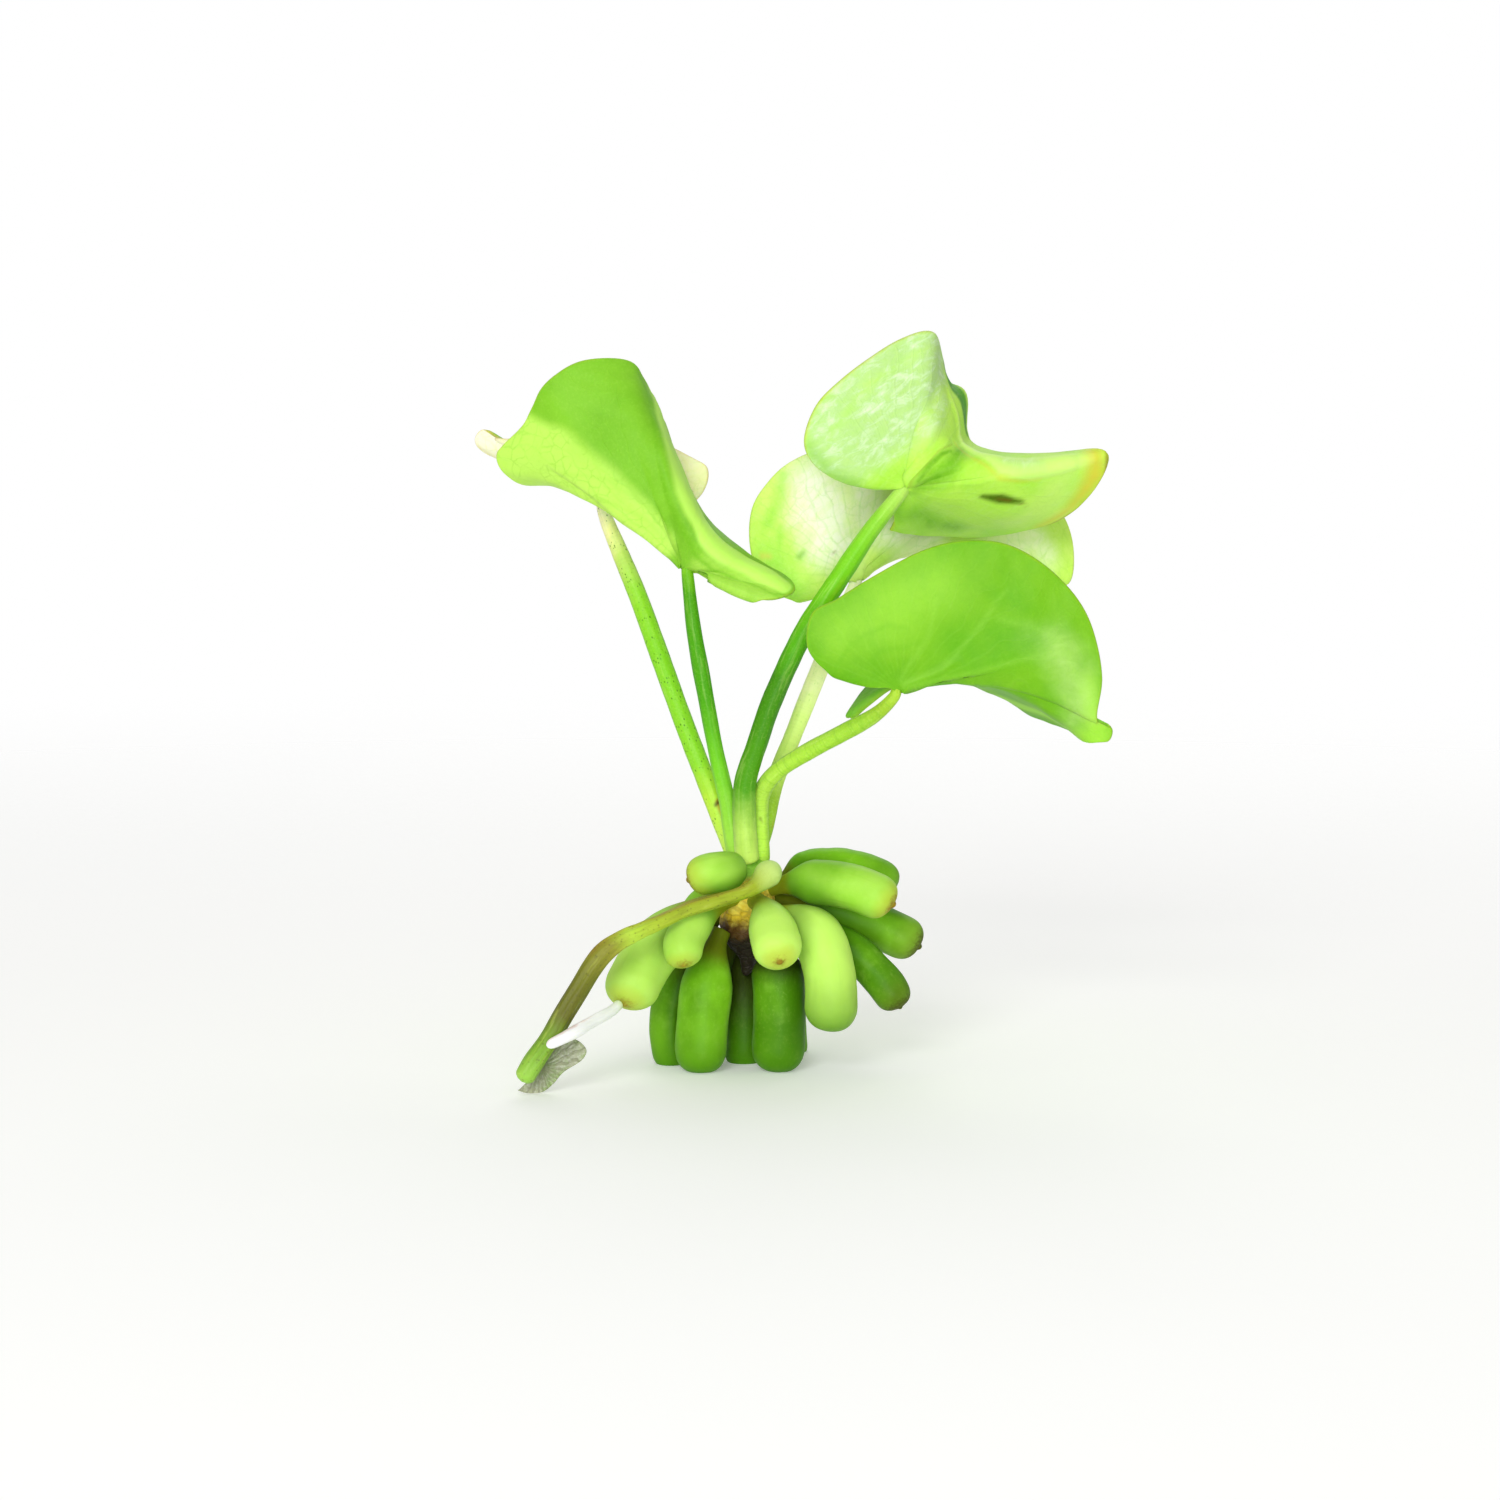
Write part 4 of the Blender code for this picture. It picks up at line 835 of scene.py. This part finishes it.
def makeTuber(key, tuber, skin, seed):
    radius, tintAndShade, brownTip = tuber[3:]
    fine = tuberSpine(tuber, np.linspace(0, 1, 200))
    length = np.linalg.norm(np.diff(fine, axis=0), axis=1).sum() / mm
    start = -tuberShape["inside"] / length * tuberShape["pace"]
    t = start + (1 - start) * crowded(tuberShape["along"], tuberShape["even"], False)
    spine = tuberSpine(tuber, t)
    along = lengths(spine) / mm
    left = along[-1] - along
    neckLength = neckLengths.get(key, tuberShape["neckLength"])
    grown = ease(t, 0, neckLength)
    # radius(left) = (1 - (1 - left)^p)^(1/p) closes the end bluntly, and a small nub stands on it
    nubLength, power = tuberShape["nub"] * radius * brownTip, tuberShape["blunt"]
    close = np.clip((left - nubLength) / radius, 0, 1)
    body = radius * (tuberShape["neckShare"] + (1 - tuberShape["neckShare"]) * grown)
    body = body * (1 - (1 - close) ** power) ** (1 / power)
    nub = tuberShape["nubWidth"] * radius * brownTip * dome(left / max(2 * nubLength, 0.01))
    size = np.maximum((body**3 + nub**3) ** (1 / 3), 0.02)
    angle, turn = roundAngles(tuberShape["around"]), np.random.default_rng(seed).uniform(0, 6.3, 2)
    keel = tuberShape["ridges"] * (np.cos(3 * angle + turn[0]) + 0.6 * np.cos(5 * angle + turn[1]))
    swell = keel * (grown * ease(left, 0, radius * 1.6))[:, None]
    points, rope = tubeSurface(spine, size * mm, tuberShape["around"], swell)[:2]
    wave = ripples(points / mm, (7, seed, 0.08), (2.6, seed + 1, 0.02))
    centre = spine[:, None]
    points = centre + (points - centre) * (1 + wave / radius * ease(left, 0, 3)[:, None])[..., None]
    points[..., 2] = np.maximum(points[..., 2], 0)
    # painted shade: the larger of the share of the normal that points down and 1 where another tuber touches,
    # which fades out over a gap from dark to lit
    gaps = []
    for other in (tubers[name] for name in tubers if name != key):
        away = points[..., None, :] - tuberSpine(other, np.linspace(0.1, 1, 30))
        gaps.append(np.linalg.norm(away, axis=-1).min(-1) / mm - other[3])
    shaded = ease(np.min(gaps, 0), tuberShape["lit"], tuberShape["dark"])
    paintedShade = np.maximum(-unit(points - centre)[..., 2] * tuberShape["under"], shaded)
    share = np.linspace(0, 1, tuberShape["along"])[:, None]
    tipLeft = left / tipReaches.get(key, 1)
    neckShare = t / (neckLength * neckReaches.get(key, 1))
    layers = {
        "grow": np.stack(np.broadcast_arrays(share, tintAndShade, tipLeft[:, None] + 0 * angle), -1),
        "rope": rope + np.array((13, 7, 29)) * seed,
        "extra": np.stack(np.broadcast_arrays(brownTip, neckShare[:, None], paintedShade), -1),
    }
    makeRound(key + "Tuber", points, layers, "tuber_green", [nodeName(key, "tuber")], skin)


# Rootstock: a lumpy turned stub with scars, that the necks and the stalks go into

rootstock = {
    "at": (-0.2, -21, 0), "radius": 3.9, "rings": 110, "around": 150,
    "profile": [
        (0, -11), (0.9, -10.7), (1.3, -9.4), (2.3, -7.5), (3.95, -5), (3.9, -1.5), (3.6, 2), (3.1, 4.2),
        (2.2, 5.6), (0, 6),
    ],
    "lumps": [(3.4, 5, 0.16), (1.3, 6, 0.05)],
}
stockTones = {"ochre": "f2d02e", "gold": "ffec60", "umber": "5c3e10", "dark": "221a08", "green": "96d240"}


def stockSkin():
    skin = Skin("rootstockSkin")
    place, height, tone = skin.place(), skin.parts("grow")[0], stockTones
    cloudy = skin.noise(place, 0.3, 4, 0.6)
    grain = skin.noise(place, 1.8, 4, 0.65)
    scars = skin.cells(skin.scaled(place, 1, 1, 1.8), 0.5, "DISTANCE_TO_EDGE").ease(0.14, 0.02)
    low = height + (cloudy - 0.5) * 0.2
    colour = skin.over(
        skin.mix(cloudy.ease(0.38, 0.58), tone["ochre"], tone["gold"]),
        (grain.ease(0.5, 0.75) * 0.12, tone["umber"]),
        (scars * 0.25, tone["umber"]),
        # darker towards the bottom, umber and then nearly black: the rootstock's own brown deepened into
        # painted shade for the gap among the tubers
        (low.ease(0.5, 0.4), tone["umber"]),
        (low.ease(0.42, 0.28), tone["dark"]),
        (low.ease(0.8, 0.9), tone["green"]),
    )
    return skin.finish({
        "IOR": 1.4, **flesh(0.12, (1.0, 0.6, 0.2), 0.001),
        "Base Color": colour,
        "Roughness": grain * 0.25 + 0.45,
        "Normal": skin.bump(grain * 0.12 + scars * -0.12, 0.8),
    })


def makeRootstock():
    # the profile turned round the upright axis and pushed out by lumps
    profile = rootstock["profile"]
    profile = smoothThrough(profile, np.linspace(0, len(profile) - 1, rootstock["rings"] + 2))[1:-1]
    heights = profile[:, 1]
    points = lathe(np.maximum(profile[:, 0], 0.02), heights, rootstock["around"])
    points = points * (1 + ripples(points, *rootstock["lumps"]) / rootstock["radius"])[..., None]
    grow = np.zeros(points.shape)
    grow[..., 0] = ((heights - heights.min()) / np.ptp(heights))[:, None]
    points = points * mm + sighted(rootstock["at"])
    makeRound("rootstockStub", points, {"grow": grow}, "crown_ochre", ["rootstock"], stockSkin())


makeRootstock()
tuberCoat = tuberSkin()
for number, (key, tuber) in enumerate(tubers.items()):
    makeTuber(key, tuber, tuberCoat, number + 1)
print("banana lily: rootstock and", len(tubers), "tubers made")

# Stalks

stalkShape = {"around": 64, "along": 230, "even": 0.5, "ribs": 9, "ribDepth": 0.014, "thinning": 0.35,
              "domes": (0.8, 0.7)}
# stains are strokes on a stalk: dark, trail (yellow-brown) or line (red)
stalks = {
    "frontLeft": {
        "radius": 1.15, "foot": 1.45, "flare": 0.1, "rings": 0.05, "specks": 0.1, "speckTone": "386e12",
        "pale": 0,
        "route": [
            (-1.9, -16.2, -0.5), (-2, -14.4, -0.6), (-2.7, -10.5, -0.7), (-3.3, -7.1, -0.8), (-4.9, 0, -1.1),
            (-6.5, 8.6, -1.7), (-8, 17.1, -2.2), (-8.9, 24.9, -2.2), (-9, 26.5, -2.2),
        ],
        "tones": [
            (0, "abe24f"), (0.18, "8fd92f"), (0.34, "70c71d"), (0.55, "489e07"), (0.9, "4a9a08"),
            (1, "7bc01e"),
        ],
        "stains": [],
    },
    "backLeft": {
        "radius": 1.4, "foot": 1.5, "flare": 0.1, "rings": 0.05, "specks": 0.9, "speckTone": "42780e",
        "pale": 0.05,
        "route": [
            (-2.1, -16.2, 1.8), (-2.3, -14.4, 2), (-4.2, -9.6, 3.1), (-6.3, -4.3, 4.2), (-9.6, 4.3, 6.2),
            (-13.2, 14.3, 9), (-16, 22, 11.2), (-18.6, 28.3, 13), (-20.7, 33.5, 14), (-21.3, 36.8, 14.4),
        ],
        "tones": [
            (0, "caf260"), (0.1, "d6f362"), (0.18, "b4e03c"), (0.26, "8ad229"), (0.55, "82ce24"),
            (0.7, "8ed22c"), (0.82, "c0db6a"), (0.9, "fbf7a9"), (1, "fff8e4"),
        ],
        "stains": [
            ("dark", 0.9, 0.5, (-4.3, -7.2, 2.1, 0.7), (-4.9, -7.9, 2.2, 0.5)),
            ("trail", 0.8, 0.6, (-4.4, -7.4, 2, 1.1), (-3.9, -9.4, 1.8, 0.5)),
        ],
    },
    "upperRight": {
        "radius": 1.45, "foot": 1.7, "flare": 0.05, "rings": 0.05, "specks": 0.08, "speckTone": "326812",
        "pale": 0,
        "route": [
            (-0.3, -16.2, -2.6), (-0.5, -14.4, -3), (-0.8, -9, -3.3), (-0.6, -4.3, -3.8), (1.2, 1.4, -4.8),
            (3.3, 7.4, -5.6), (7.5, 16.4, -6.6), (12.6, 24.3, -7.4), (17.1, 31.1, -8), (21.4, 36.6, -8.2),
            (22.1, 38, -8.2),
        ],
        "tones": [
            (0, "d4f670"), (0.08, "90d232"), (0.18, "4d9808"), (0.36, "408804"), (0.46, "3e8602"),
            (0.56, "54aa06"), (0.66, "70c610"), (0.8, "7ed01e"), (0.92, "98d63e"), (1, "b8e064"),
        ],
        "stains": [("trail", 0.35, 1.2, (8.6, 16.4, -8.2, 0.2), (13.4, 24.3, -9, 0.2))],
    },
    "backRight": {
        "radius": 1.3, "foot": 1.45, "flare": 0.1, "rings": 0.05, "specks": 0.35, "speckTone": "b0e25a",
        "pale": 0.2,
        "route": [
            (0.9, -16.2, 1.7), (1, -14.4, 1.8), (2.1, -10.6, 2.1), (3.4, -5, 2.8), (5.9, 1.4, 4.2),
            (9, 9.2, 5.6), (12.2, 17, 7.2), (14.9, 23.3, 8), (15.3, 24.8, 8.2),
        ],
        "tones": [
            (0, "aae43e"), (0.1, "acda46"), (0.2, "9bc62f"), (0.33, "d4f672"), (0.5, "e2ff8f"),
            (0.6, "f2ffb4"), (1, "faffce"),
        ],
        "stains": [
            ("line", 0.8, 0.35, (3.5, -7.4, 1.7, 0.25), (3.1, -11, 1.4, 0.25)),
            ("line", 0.45, 0.5, (5.3, -2, 2.9, 0.1), (7.4, 1.6, 3.6, 0.1), (9.6, 6.5, 4.6, 0.1)),
        ],
    },
    "frontRight": {
        "radius": 1.2, "foot": 1.5, "flare": 0.15, "rings": 0.2, "specks": 0.15, "speckTone": "70a022",
        "pale": 0.1,
        "route": [
            (1.3, -16.2, -0.6), (1.3, -14.4, -0.8), (1.2, -9.6, -0.8), (1.7, -6, -1.9), (4.1, -2.9, -4.2),
            (8.5, -0.1, -7.4), (13.2, 2.4, -10.4), (17.7, 4.9, -12.8), (20.4, 7.4, -14.2), (21, 8.9, -14.2),
        ],
        "tones": [
            (0, "c0f54d"), (0.12, "c4f655"), (0.3, "b2de4c"), (0.45, "a9da40"), (0.58, "a4d63c"),
            (0.82, "96c832"), (0.9, "99c02e"), (1, "a8d034"),
        ],
        "stains": [
            ("dark", 0.8, 0.5, (1.5, -9.8, -2.3, 0.3), (1.8, -10.3, -2.2, 0.2)),
            ("trail", 0.5, 0.6, (9.5, 2.4, -8.6, 0.1), (14.5, 4.9, -11.6, 0.3), (18.6, 7.2, -14.6, 0.5)),
        ],
    },
}
stalkTones = {"streak": "58a014", "gleam": "def68c", "dark": "4e360e", "trail": "ba9228", "line": "c45c2c"}
stainKinds = ("dark", "trail", "line")


def stalkSkin(name, look):
    skin = Skin(name)
    share, rope, tone = skin.parts("coat")[0], skin.layer("rope"), stalkTones
    dark, trail, line = skin.parts("stain")
    streaks = skin.noise(skin.scaled(rope, 1, 1, 0.08), 1.6, 4, 0.6)
    grain = skin.noise(rope, 3.4, 3, 0.6)
    dots = skin.cells(skin.scaled(rope, 1, 1, 0.6), 2.4).ease(0.32, 0.14)
    dots = dots * skin.noise(rope, 0.8, 2).ease(0.45, 0.58)
    rings = skin.noise(skin.scaled(rope, 0.1, 0.1, 1), 3.2)
    colour = skin.over(
        skin.ramp(share + (skin.noise(rope, 0.3) - 0.5) * 0.12, look["tones"]),
        (streaks.ease(0.52, 0.75) * 0.16, tone["streak"]),
        (streaks.ease(0.46, 0.3) * 0.16, tone["gleam"]),
        (rings.ease(0.5, 0.7) * look["rings"] * 1.4, tone["streak"]),
        (dots * look["specks"], look["speckTone"]),
        (grain.ease(0.48, 0.75) * (0.08 + look["pale"]), tone["gleam"]),
        ((trail * (grain + 0.5)).upToOne(), tone["trail"]),
        ((dark * (grain + 0.5)).upToOne(), tone["dark"]),
        ((line * (grain + 0.5)).upToOne(), tone["line"]),
    )
    return skin.finish({
        "IOR": 1.42, "Specular IOR Level": 0.2, "Coat Weight": 0.03, "Coat Roughness": 0.4,
        **flesh(0.2, (0.8, 1.0, 0.15), 0.0015),
        "Base Color": colour,
        "Roughness": grain * 0.16 + 0.36,
        "Normal": skin.bump(streaks * 0.04 + rings * look["rings"] + grain * 0.02),
    })


def stainLayer(points, stains):
    # each stain is a stroke through places (across, up, back, width)
    layer = {kind: np.zeros(points.shape[:-1]) for kind in stainKinds}
    for kind, strength, soft, *path in stains:
        places = [(*sighted(place[:3]) / mm, place[3]) for place in path]
        layer[kind] = np.maximum(layer[kind], stroke(points / mm, places, soft) * strength)
    return np.stack(list(layer.values()), -1)


def domed(places, radius, domes):
    # 1 along the stem, and a quarter circle down to 0 over the given lengths at its ends
    along = lengths(places) / mm
    ends = np.minimum(along / domes[0], (along[-1] - along) / domes[1])
    return np.maximum(radius * dome(ends), 0.01)


def makeStem(name, tube, slotName, nodes, skin, stains=()):
    # a tube that lies flat where it meets the ground
    points, rope, coat = tube
    points[..., 2] = np.maximum(points[..., 2], 0)
    layers = {"coat": coat, "rope": rope, "stain": stainLayer(points, stains)}
    makeRound(name, points, layers, slotName, nodes, skin)


def makeStalk(key, stalk):
    close = crowded(stalkShape["along"], stalkShape["even"])
    places = smoothThrough(sighted(stalk["route"]), close * (len(stalk["route"]) - 1))
    # the radius goes from the foot to the stalk's own, thins before the blade and flares out at it
    size = stalk["foot"] + (stalk["radius"] - stalk["foot"]) * ease(close, 0.1, 0.45)
    neck = 1 - stalkShape["thinning"] * ease(close, 0.66, 0.97) + stalk["flare"] * ease(close, 0.95, 1)
    size = domed(places, size * neck, stalkShape["domes"])
    angle = roundAngles(stalkShape["around"])
    swell = stalkShape["ribDepth"] * np.cos(stalkShape["ribs"] * angle) * ease(close, 0.05, 0.2)[:, None]
    swell = swell + ripples(places / mm, (9, len(key), 0.03), (3, len(key) + 3, 0.012))[:, None]
    tube = tubeSurface(places, size * mm, stalkShape["around"], swell)
    skin = stalkSkin(key + "StalkSkin", stalk)
    makeStem(key + "Stalk", tube, "stalk_green", [nodeName(key, "stalk")], skin, stalk["stains"])


for key, stalk in stalks.items():
    makeStalk(key, stalk)
print("banana lily: five stalks made")

# The spent stalk: limp and wrinkled, from its pale knob on the crown to its end on the ground

spentStalk = {
    "along": 320, "around": 72, "domes": (1, 1.1),
    "stations": [
        (3.9, -17, -6.3, 1), (2.6, -17.7, -8, 1.92), (1, -19.3, -9.8, 1.2), (-1.4, -20.5, -11.6, 0.95),
        (-5.5, -21.8, -13.8, 0.95), (-9.1, -22.9, -15.2, 1), (-12.8, -24.6, -16.8, 1.02),
        (-15.6, -25.8, -17.8, 1.12), (-18.5, -27.2, -18.8, 1.32), (-20.8, -28.9, -19.4, 1.46),
        (-22.6, -31.1, -19.8, 1.46), (-24.5, -34.2, -20, 1.4), (-26.5, -37.5, -20.4, 1.38),
        (-28.6, -41.2, -21, 1.38), (-30.9, -44.6, -21.6, 1.46), (-32.6, -47.4, -22.2, 1.4),
    ],
    "tones": [
        (0, "d6f696"), (0.07, "c4ec6e"), (0.12, "a2b428"), (0.3, "9cae24"), (0.42, "a6bc2a"), (0.5, "b2d43c"),
        (0.57, "929228"), (0.68, "6e7212"), (0.79, "62660c"), (0.9, "7aa826"), (1, "98cc48"),
    ],
}
spentTones = {"streak": "5c5a14", "gleam": "c8d468", "red": "965c22", "speck": "545614"}


def spentSkin():
    skin = Skin("spentStalkSkin")
    share, upward = skin.parts("coat")[:2]
    rope, tone = skin.layer("rope"), spentTones
    drift = skin.noise(rope, 0.28) - 0.5
    streaks = skin.noise(skin.scaled(rope, 1, 1, 0.14), 1.3, 4, 0.6)
    grain = skin.noise(rope, 2.8, 4, 0.65)
    body = share.ease(0.08, 0.16)
    margin = (upward + drift * 0.6).ease(0.6, 1) * body * share.ease(0.86, 0.7)
    colour = skin.over(
        skin.ramp(share + drift * 0.05, spentStalk["tones"]),
        (streaks.ease(0.5, 0.72) * 0.4 * body, tone["streak"]),
        (streaks.ease(0.46, 0.3) * 0.3, tone["gleam"]),
        (skin.cells(rope, 1.6).ease(0.3, 0.1) * body * 0.5, tone["speck"]),
        (margin * 0.45, tone["red"]),
    )
    return skin.finish({
        "IOR": 1.4, **flesh(0.12, (0.8, 1.0, 0.3), 0.001),
        "Base Color": colour,
        "Roughness": grain * 0.2 + 0.42,
        "Normal": skin.bump(streaks * 0.16 + grain * 0.05, 0.8),
    })


def trailingPlaces(stem):
    # the places and the size of a stem, from its stations (across, up, back, radius)
    rows = np.array([(*sighted(station[:3]), station[3]) for station in stem["stations"]])
    rows = smoothThrough(rows, np.linspace(0, len(rows) - 1, stem["along"]))
    places = rows[:, :3]
    return places, domed(places, rows[:, 3], stem["domes"])


def makeSpentStalk():
    places, size = trailingPlaces(spentStalk)
    share, angle = np.linspace(0, 1, spentStalk["along"])[:, None], roundAngles(spentStalk["around"])
    limp = ease(share, 0.12, 0.3) * ease(1 - share, 0, 0.08)
    # five furrows wind one way round the stalk and eight finer ones the other way
    furrows = 0.045 * np.cos(5 * angle + 9 * share) + 0.03 * np.cos(8 * angle - 14 * share)
    swell = limp * (furrows + ripples(places / mm, (4.5, 21, 0.05))[:, None])
    tube = tubeSurface(places, size * mm, spentStalk["around"], swell)
    makeStem("spentStalkStem", tube, "spent_olive", ["spent_stalk"], spentSkin())


makeSpentStalk()

# The young root: a white thread with a rosy edge, from the left front tuber

youngRoot = {
    "along": 150, "around": 48, "domes": (0.5, 1.2),
    "stations": [
        (-18.6, -36.2, -12.5, 0.7), (-19.8, -37.3, -14.4, 0.75), (-22.3, -38.7, -18, 0.85),
        (-25.6, -40.6, -22.5, 0.85), (-29, -42.3, -25.2, 0.7),
    ],
}
rootTones = {"white": "ffffff", "shade": "f0f4ec", "rose": "f0beb0", "green": "c4e08c"}


def rootSkin():
    skin = Skin("youngRootSkin")
    share, upward = skin.parts("coat")[:2]
    rope, tone = skin.layer("rope"), rootTones
    streaks = skin.noise(skin.scaled(rope, 1, 1, 0.1), 2.2)
    cloudy = skin.noise(rope, 0.5)
    rosy = (upward + (cloudy - 0.5) * 0.4).ease(0.8, 1) * share.ease(0.35, 0.6)
    colour = skin.over(
        skin.mix(streaks.ease(0.45, 0.75) * 0.4, tone["white"], tone["shade"]),
        (rosy * 0.5, tone["rose"]),
        ((share + (cloudy - 0.5) * 0.1).ease(0.12, 0.02) * 0.6, tone["green"]),
    )
    return skin.finish({
        "IOR": 1.4, **flesh(0.3, (1.0, 1.0, 0.8), 0.0015),
        "Base Color": colour,
        "Roughness": cloudy * 0.15 + 0.28,
        "Normal": skin.bump(streaks * 0.05),
    })


def makeYoungRoot():
    places, size = trailingPlaces(youngRoot)
    size = size * (1 + ripples(places / mm, (4, 31, 0.05)))
    tube = tubeSurface(places, size * mm, youngRoot["around"])
    makeStem("youngRootThread", tube, "root_white", ["young_root"], rootSkin())


makeYoungRoot()

# The withered sheath: a crumpled see-through film

sheath = {
    "node": "withered_sheath", "slot": "withered_grey", "spans": 150, "steps": 70, "thickness": 0.4,
    "ripple": (3.2, 0.22), "seed": 41, "marks": [], "veinSpacing": 0.22,
    "joint": (-29.9, -45.2, -19),
    "rim": [
        (-29.3, -42.8, -18.6), (-27.3, -41.9, -19), (-25.1, -41.3, -19.5), (-23.4, -42.7, -20),
        (-23.9, -44.2, -20.3), (-26.6, -46, -20), (-28, -47.6, -19.6), (-29.6, -48.8, -19.5),
        (-31.6, -49, -19.6), (-33.2, -48.6, -19.9),
    ],
}
sheathTones = {"grey": "a4a888", "green": "90ac64", "pale": "ced2be", "vein": "68684c"}


def sheathSkin():
    skin = Skin("sheathSkin")
    x, y, side = skin.parts("plan")
    angle, reach, rim = skin.parts("ray")
    plan = skin.vector(x, y, side * 2)
    cloudy = skin.noise(plan, 0.35, 4, 0.6)
    grain = skin.noise(plan, 2.2, 4, 0.6)
    veins = lineGap(angle + (cloudy - 0.5) * 0.6, reach, sheath["veinSpacing"]).ease(0.2, 0.05)
    return skin.finish({
        "IOR": 1.38,
        "Base Color": skin.over(
            skin.mix(cloudy.ease(0.36, 0.62), sheathTones["green"], sheathTones["grey"]),
            (grain.ease(0.45, 0.7) * 0.6, sheathTones["pale"]),
            (veins * 0.5, sheathTones["vein"]),
        ),
        "Roughness": grain * 0.25 + 0.35,
        "Alpha": (cloudy * 0.35 + veins * 0.25 + rim.ease(0.9, 0.1) * 0.25 + 0.5).upToOne(),
        "Normal": skin.bump(veins * 0.1 + cloudy * 0.3, 0.8),
    })


makeSheet("sheathFilm", sheath, sheathSkin())
print("banana lily: spent stalk, root and sheath made")

# Floor, lights and camera

room = {"radius": 1.6, "fadeFrom": 0.06, "fadeTo": 0.8, "rings": 40, "crowd": 1.5, "around": 96,
        "tone": "f8f8f6", "grain": (0.8, 0.8, 0.8, 1), "glow": 0.2}


def makeFloor():
    # lathe(radius, 0): a flat disc, whose material fades out into the pale room; only its middle is closed
    radius = np.linspace(0, 1, room["rings"])[::-1] ** room["crowd"] * room["radius"] + mm
    quads, fans = ringFaces(room["rings"], room["around"])
    points = withPoles(lathe(radius, radius * 0, room["around"]))
    mesh = bpy.data.meshes.new("paleFloor")
    mesh.from_pydata(points.tolist(), [], [*quads.tolist(), *fans[room["around"]:].tolist()])
    skin = Skin("floorSkin")
    place = skin.place()
    across, deep = skin.parts(place)[:2]
    grain = skin.noise(place, 0.02)
    mesh.materials.append(skin.finish({
        "Specular IOR Level": 0.2, "Emission Color": room["tone"], "Emission Strength": room["glow"],
        "Base Color": skin.mix(grain * 0.05, room["tone"], room["grain"]),
        "Roughness": grain * 0.1 + 0.7,
        "Alpha": ((across * across + deep * deep) ** 0.5 / 1000).ease(room["fadeTo"], room["fadeFrom"]),
    }))
    floor = addObject("paleFloor", mesh)


lamps = {
    "keyLamp": {"at": (-0.25, -1.0, 0.45), "watts": 6.0, "size": 0.45},
    "fillLamp": {"at": (0.1, -1.1, 0.03), "watts": 4.2, "size": 0.3},
    "backLamp": {"at": (0.15, 0.8, 0.8), "watts": 3.5, "size": 0.8},
}
worldLight = {"room": 0.45, "seen": 1.0, "lampsLookAt": (0, 0, 0.05)}


def lightScene():
    for name, lamp in lamps.items():
        light = bpy.data.lights.new(name, "AREA")
        light.energy, light.size = lamp["watts"], lamp["size"]
        back = unit(np.array(lamp["at"]) - np.array(worldLight["lampsLookAt"]))
        side = unit(np.cross((0, 0, 1), back))
        turned = Matrix(np.column_stack([side, np.cross(back, side), back]).tolist()).to_4x4()
        turned.translation = lamp["at"]
        addObject(name, light).matrix_world = turned
    world = bpy.data.worlds.new("paleRoom")
    world.use_nodes = True
    tree = world.node_tree
    seen = addNode(tree, "ShaderNodeLightPath", {}, {}, "Is Camera Ray")
    inputs = tree.nodes["Background"].inputs
    inputs["Color"].default_value = (1, 1, 1, 1)
    connect(tree, inputs["Strength"], seen * (worldLight["seen"] - worldLight["room"]) + worldLight["room"])
    bpy.context.scene.world = world


def placeCamera():
    camera = bpy.data.cameras.new("frontView")
    camera.sensor_width = 36
    camera.lens = camera.sensor_width * sight["length"] / (sight["imageSize"] / sight["pixelsPerMm"])
    camera.clip_start = 0.01
    s, c = math.sin(sight["tilt"]), math.cos(sight["tilt"])
    turned = Matrix(((1, 0, 0), (0, s, -c), (0, c, s))).to_4x4()
    turned.translation = sighted((0, 0, -sight["length"])).tolist()
    bpy.context.scene.camera = addObject("frontView", camera)
    bpy.context.scene.camera.matrix_world = turned


makeFloor()
lightScene()
placeCamera()
bpy.context.scene.view_settings.view_transform = "Standard"
print("banana lily: floor, lights and camera placed")
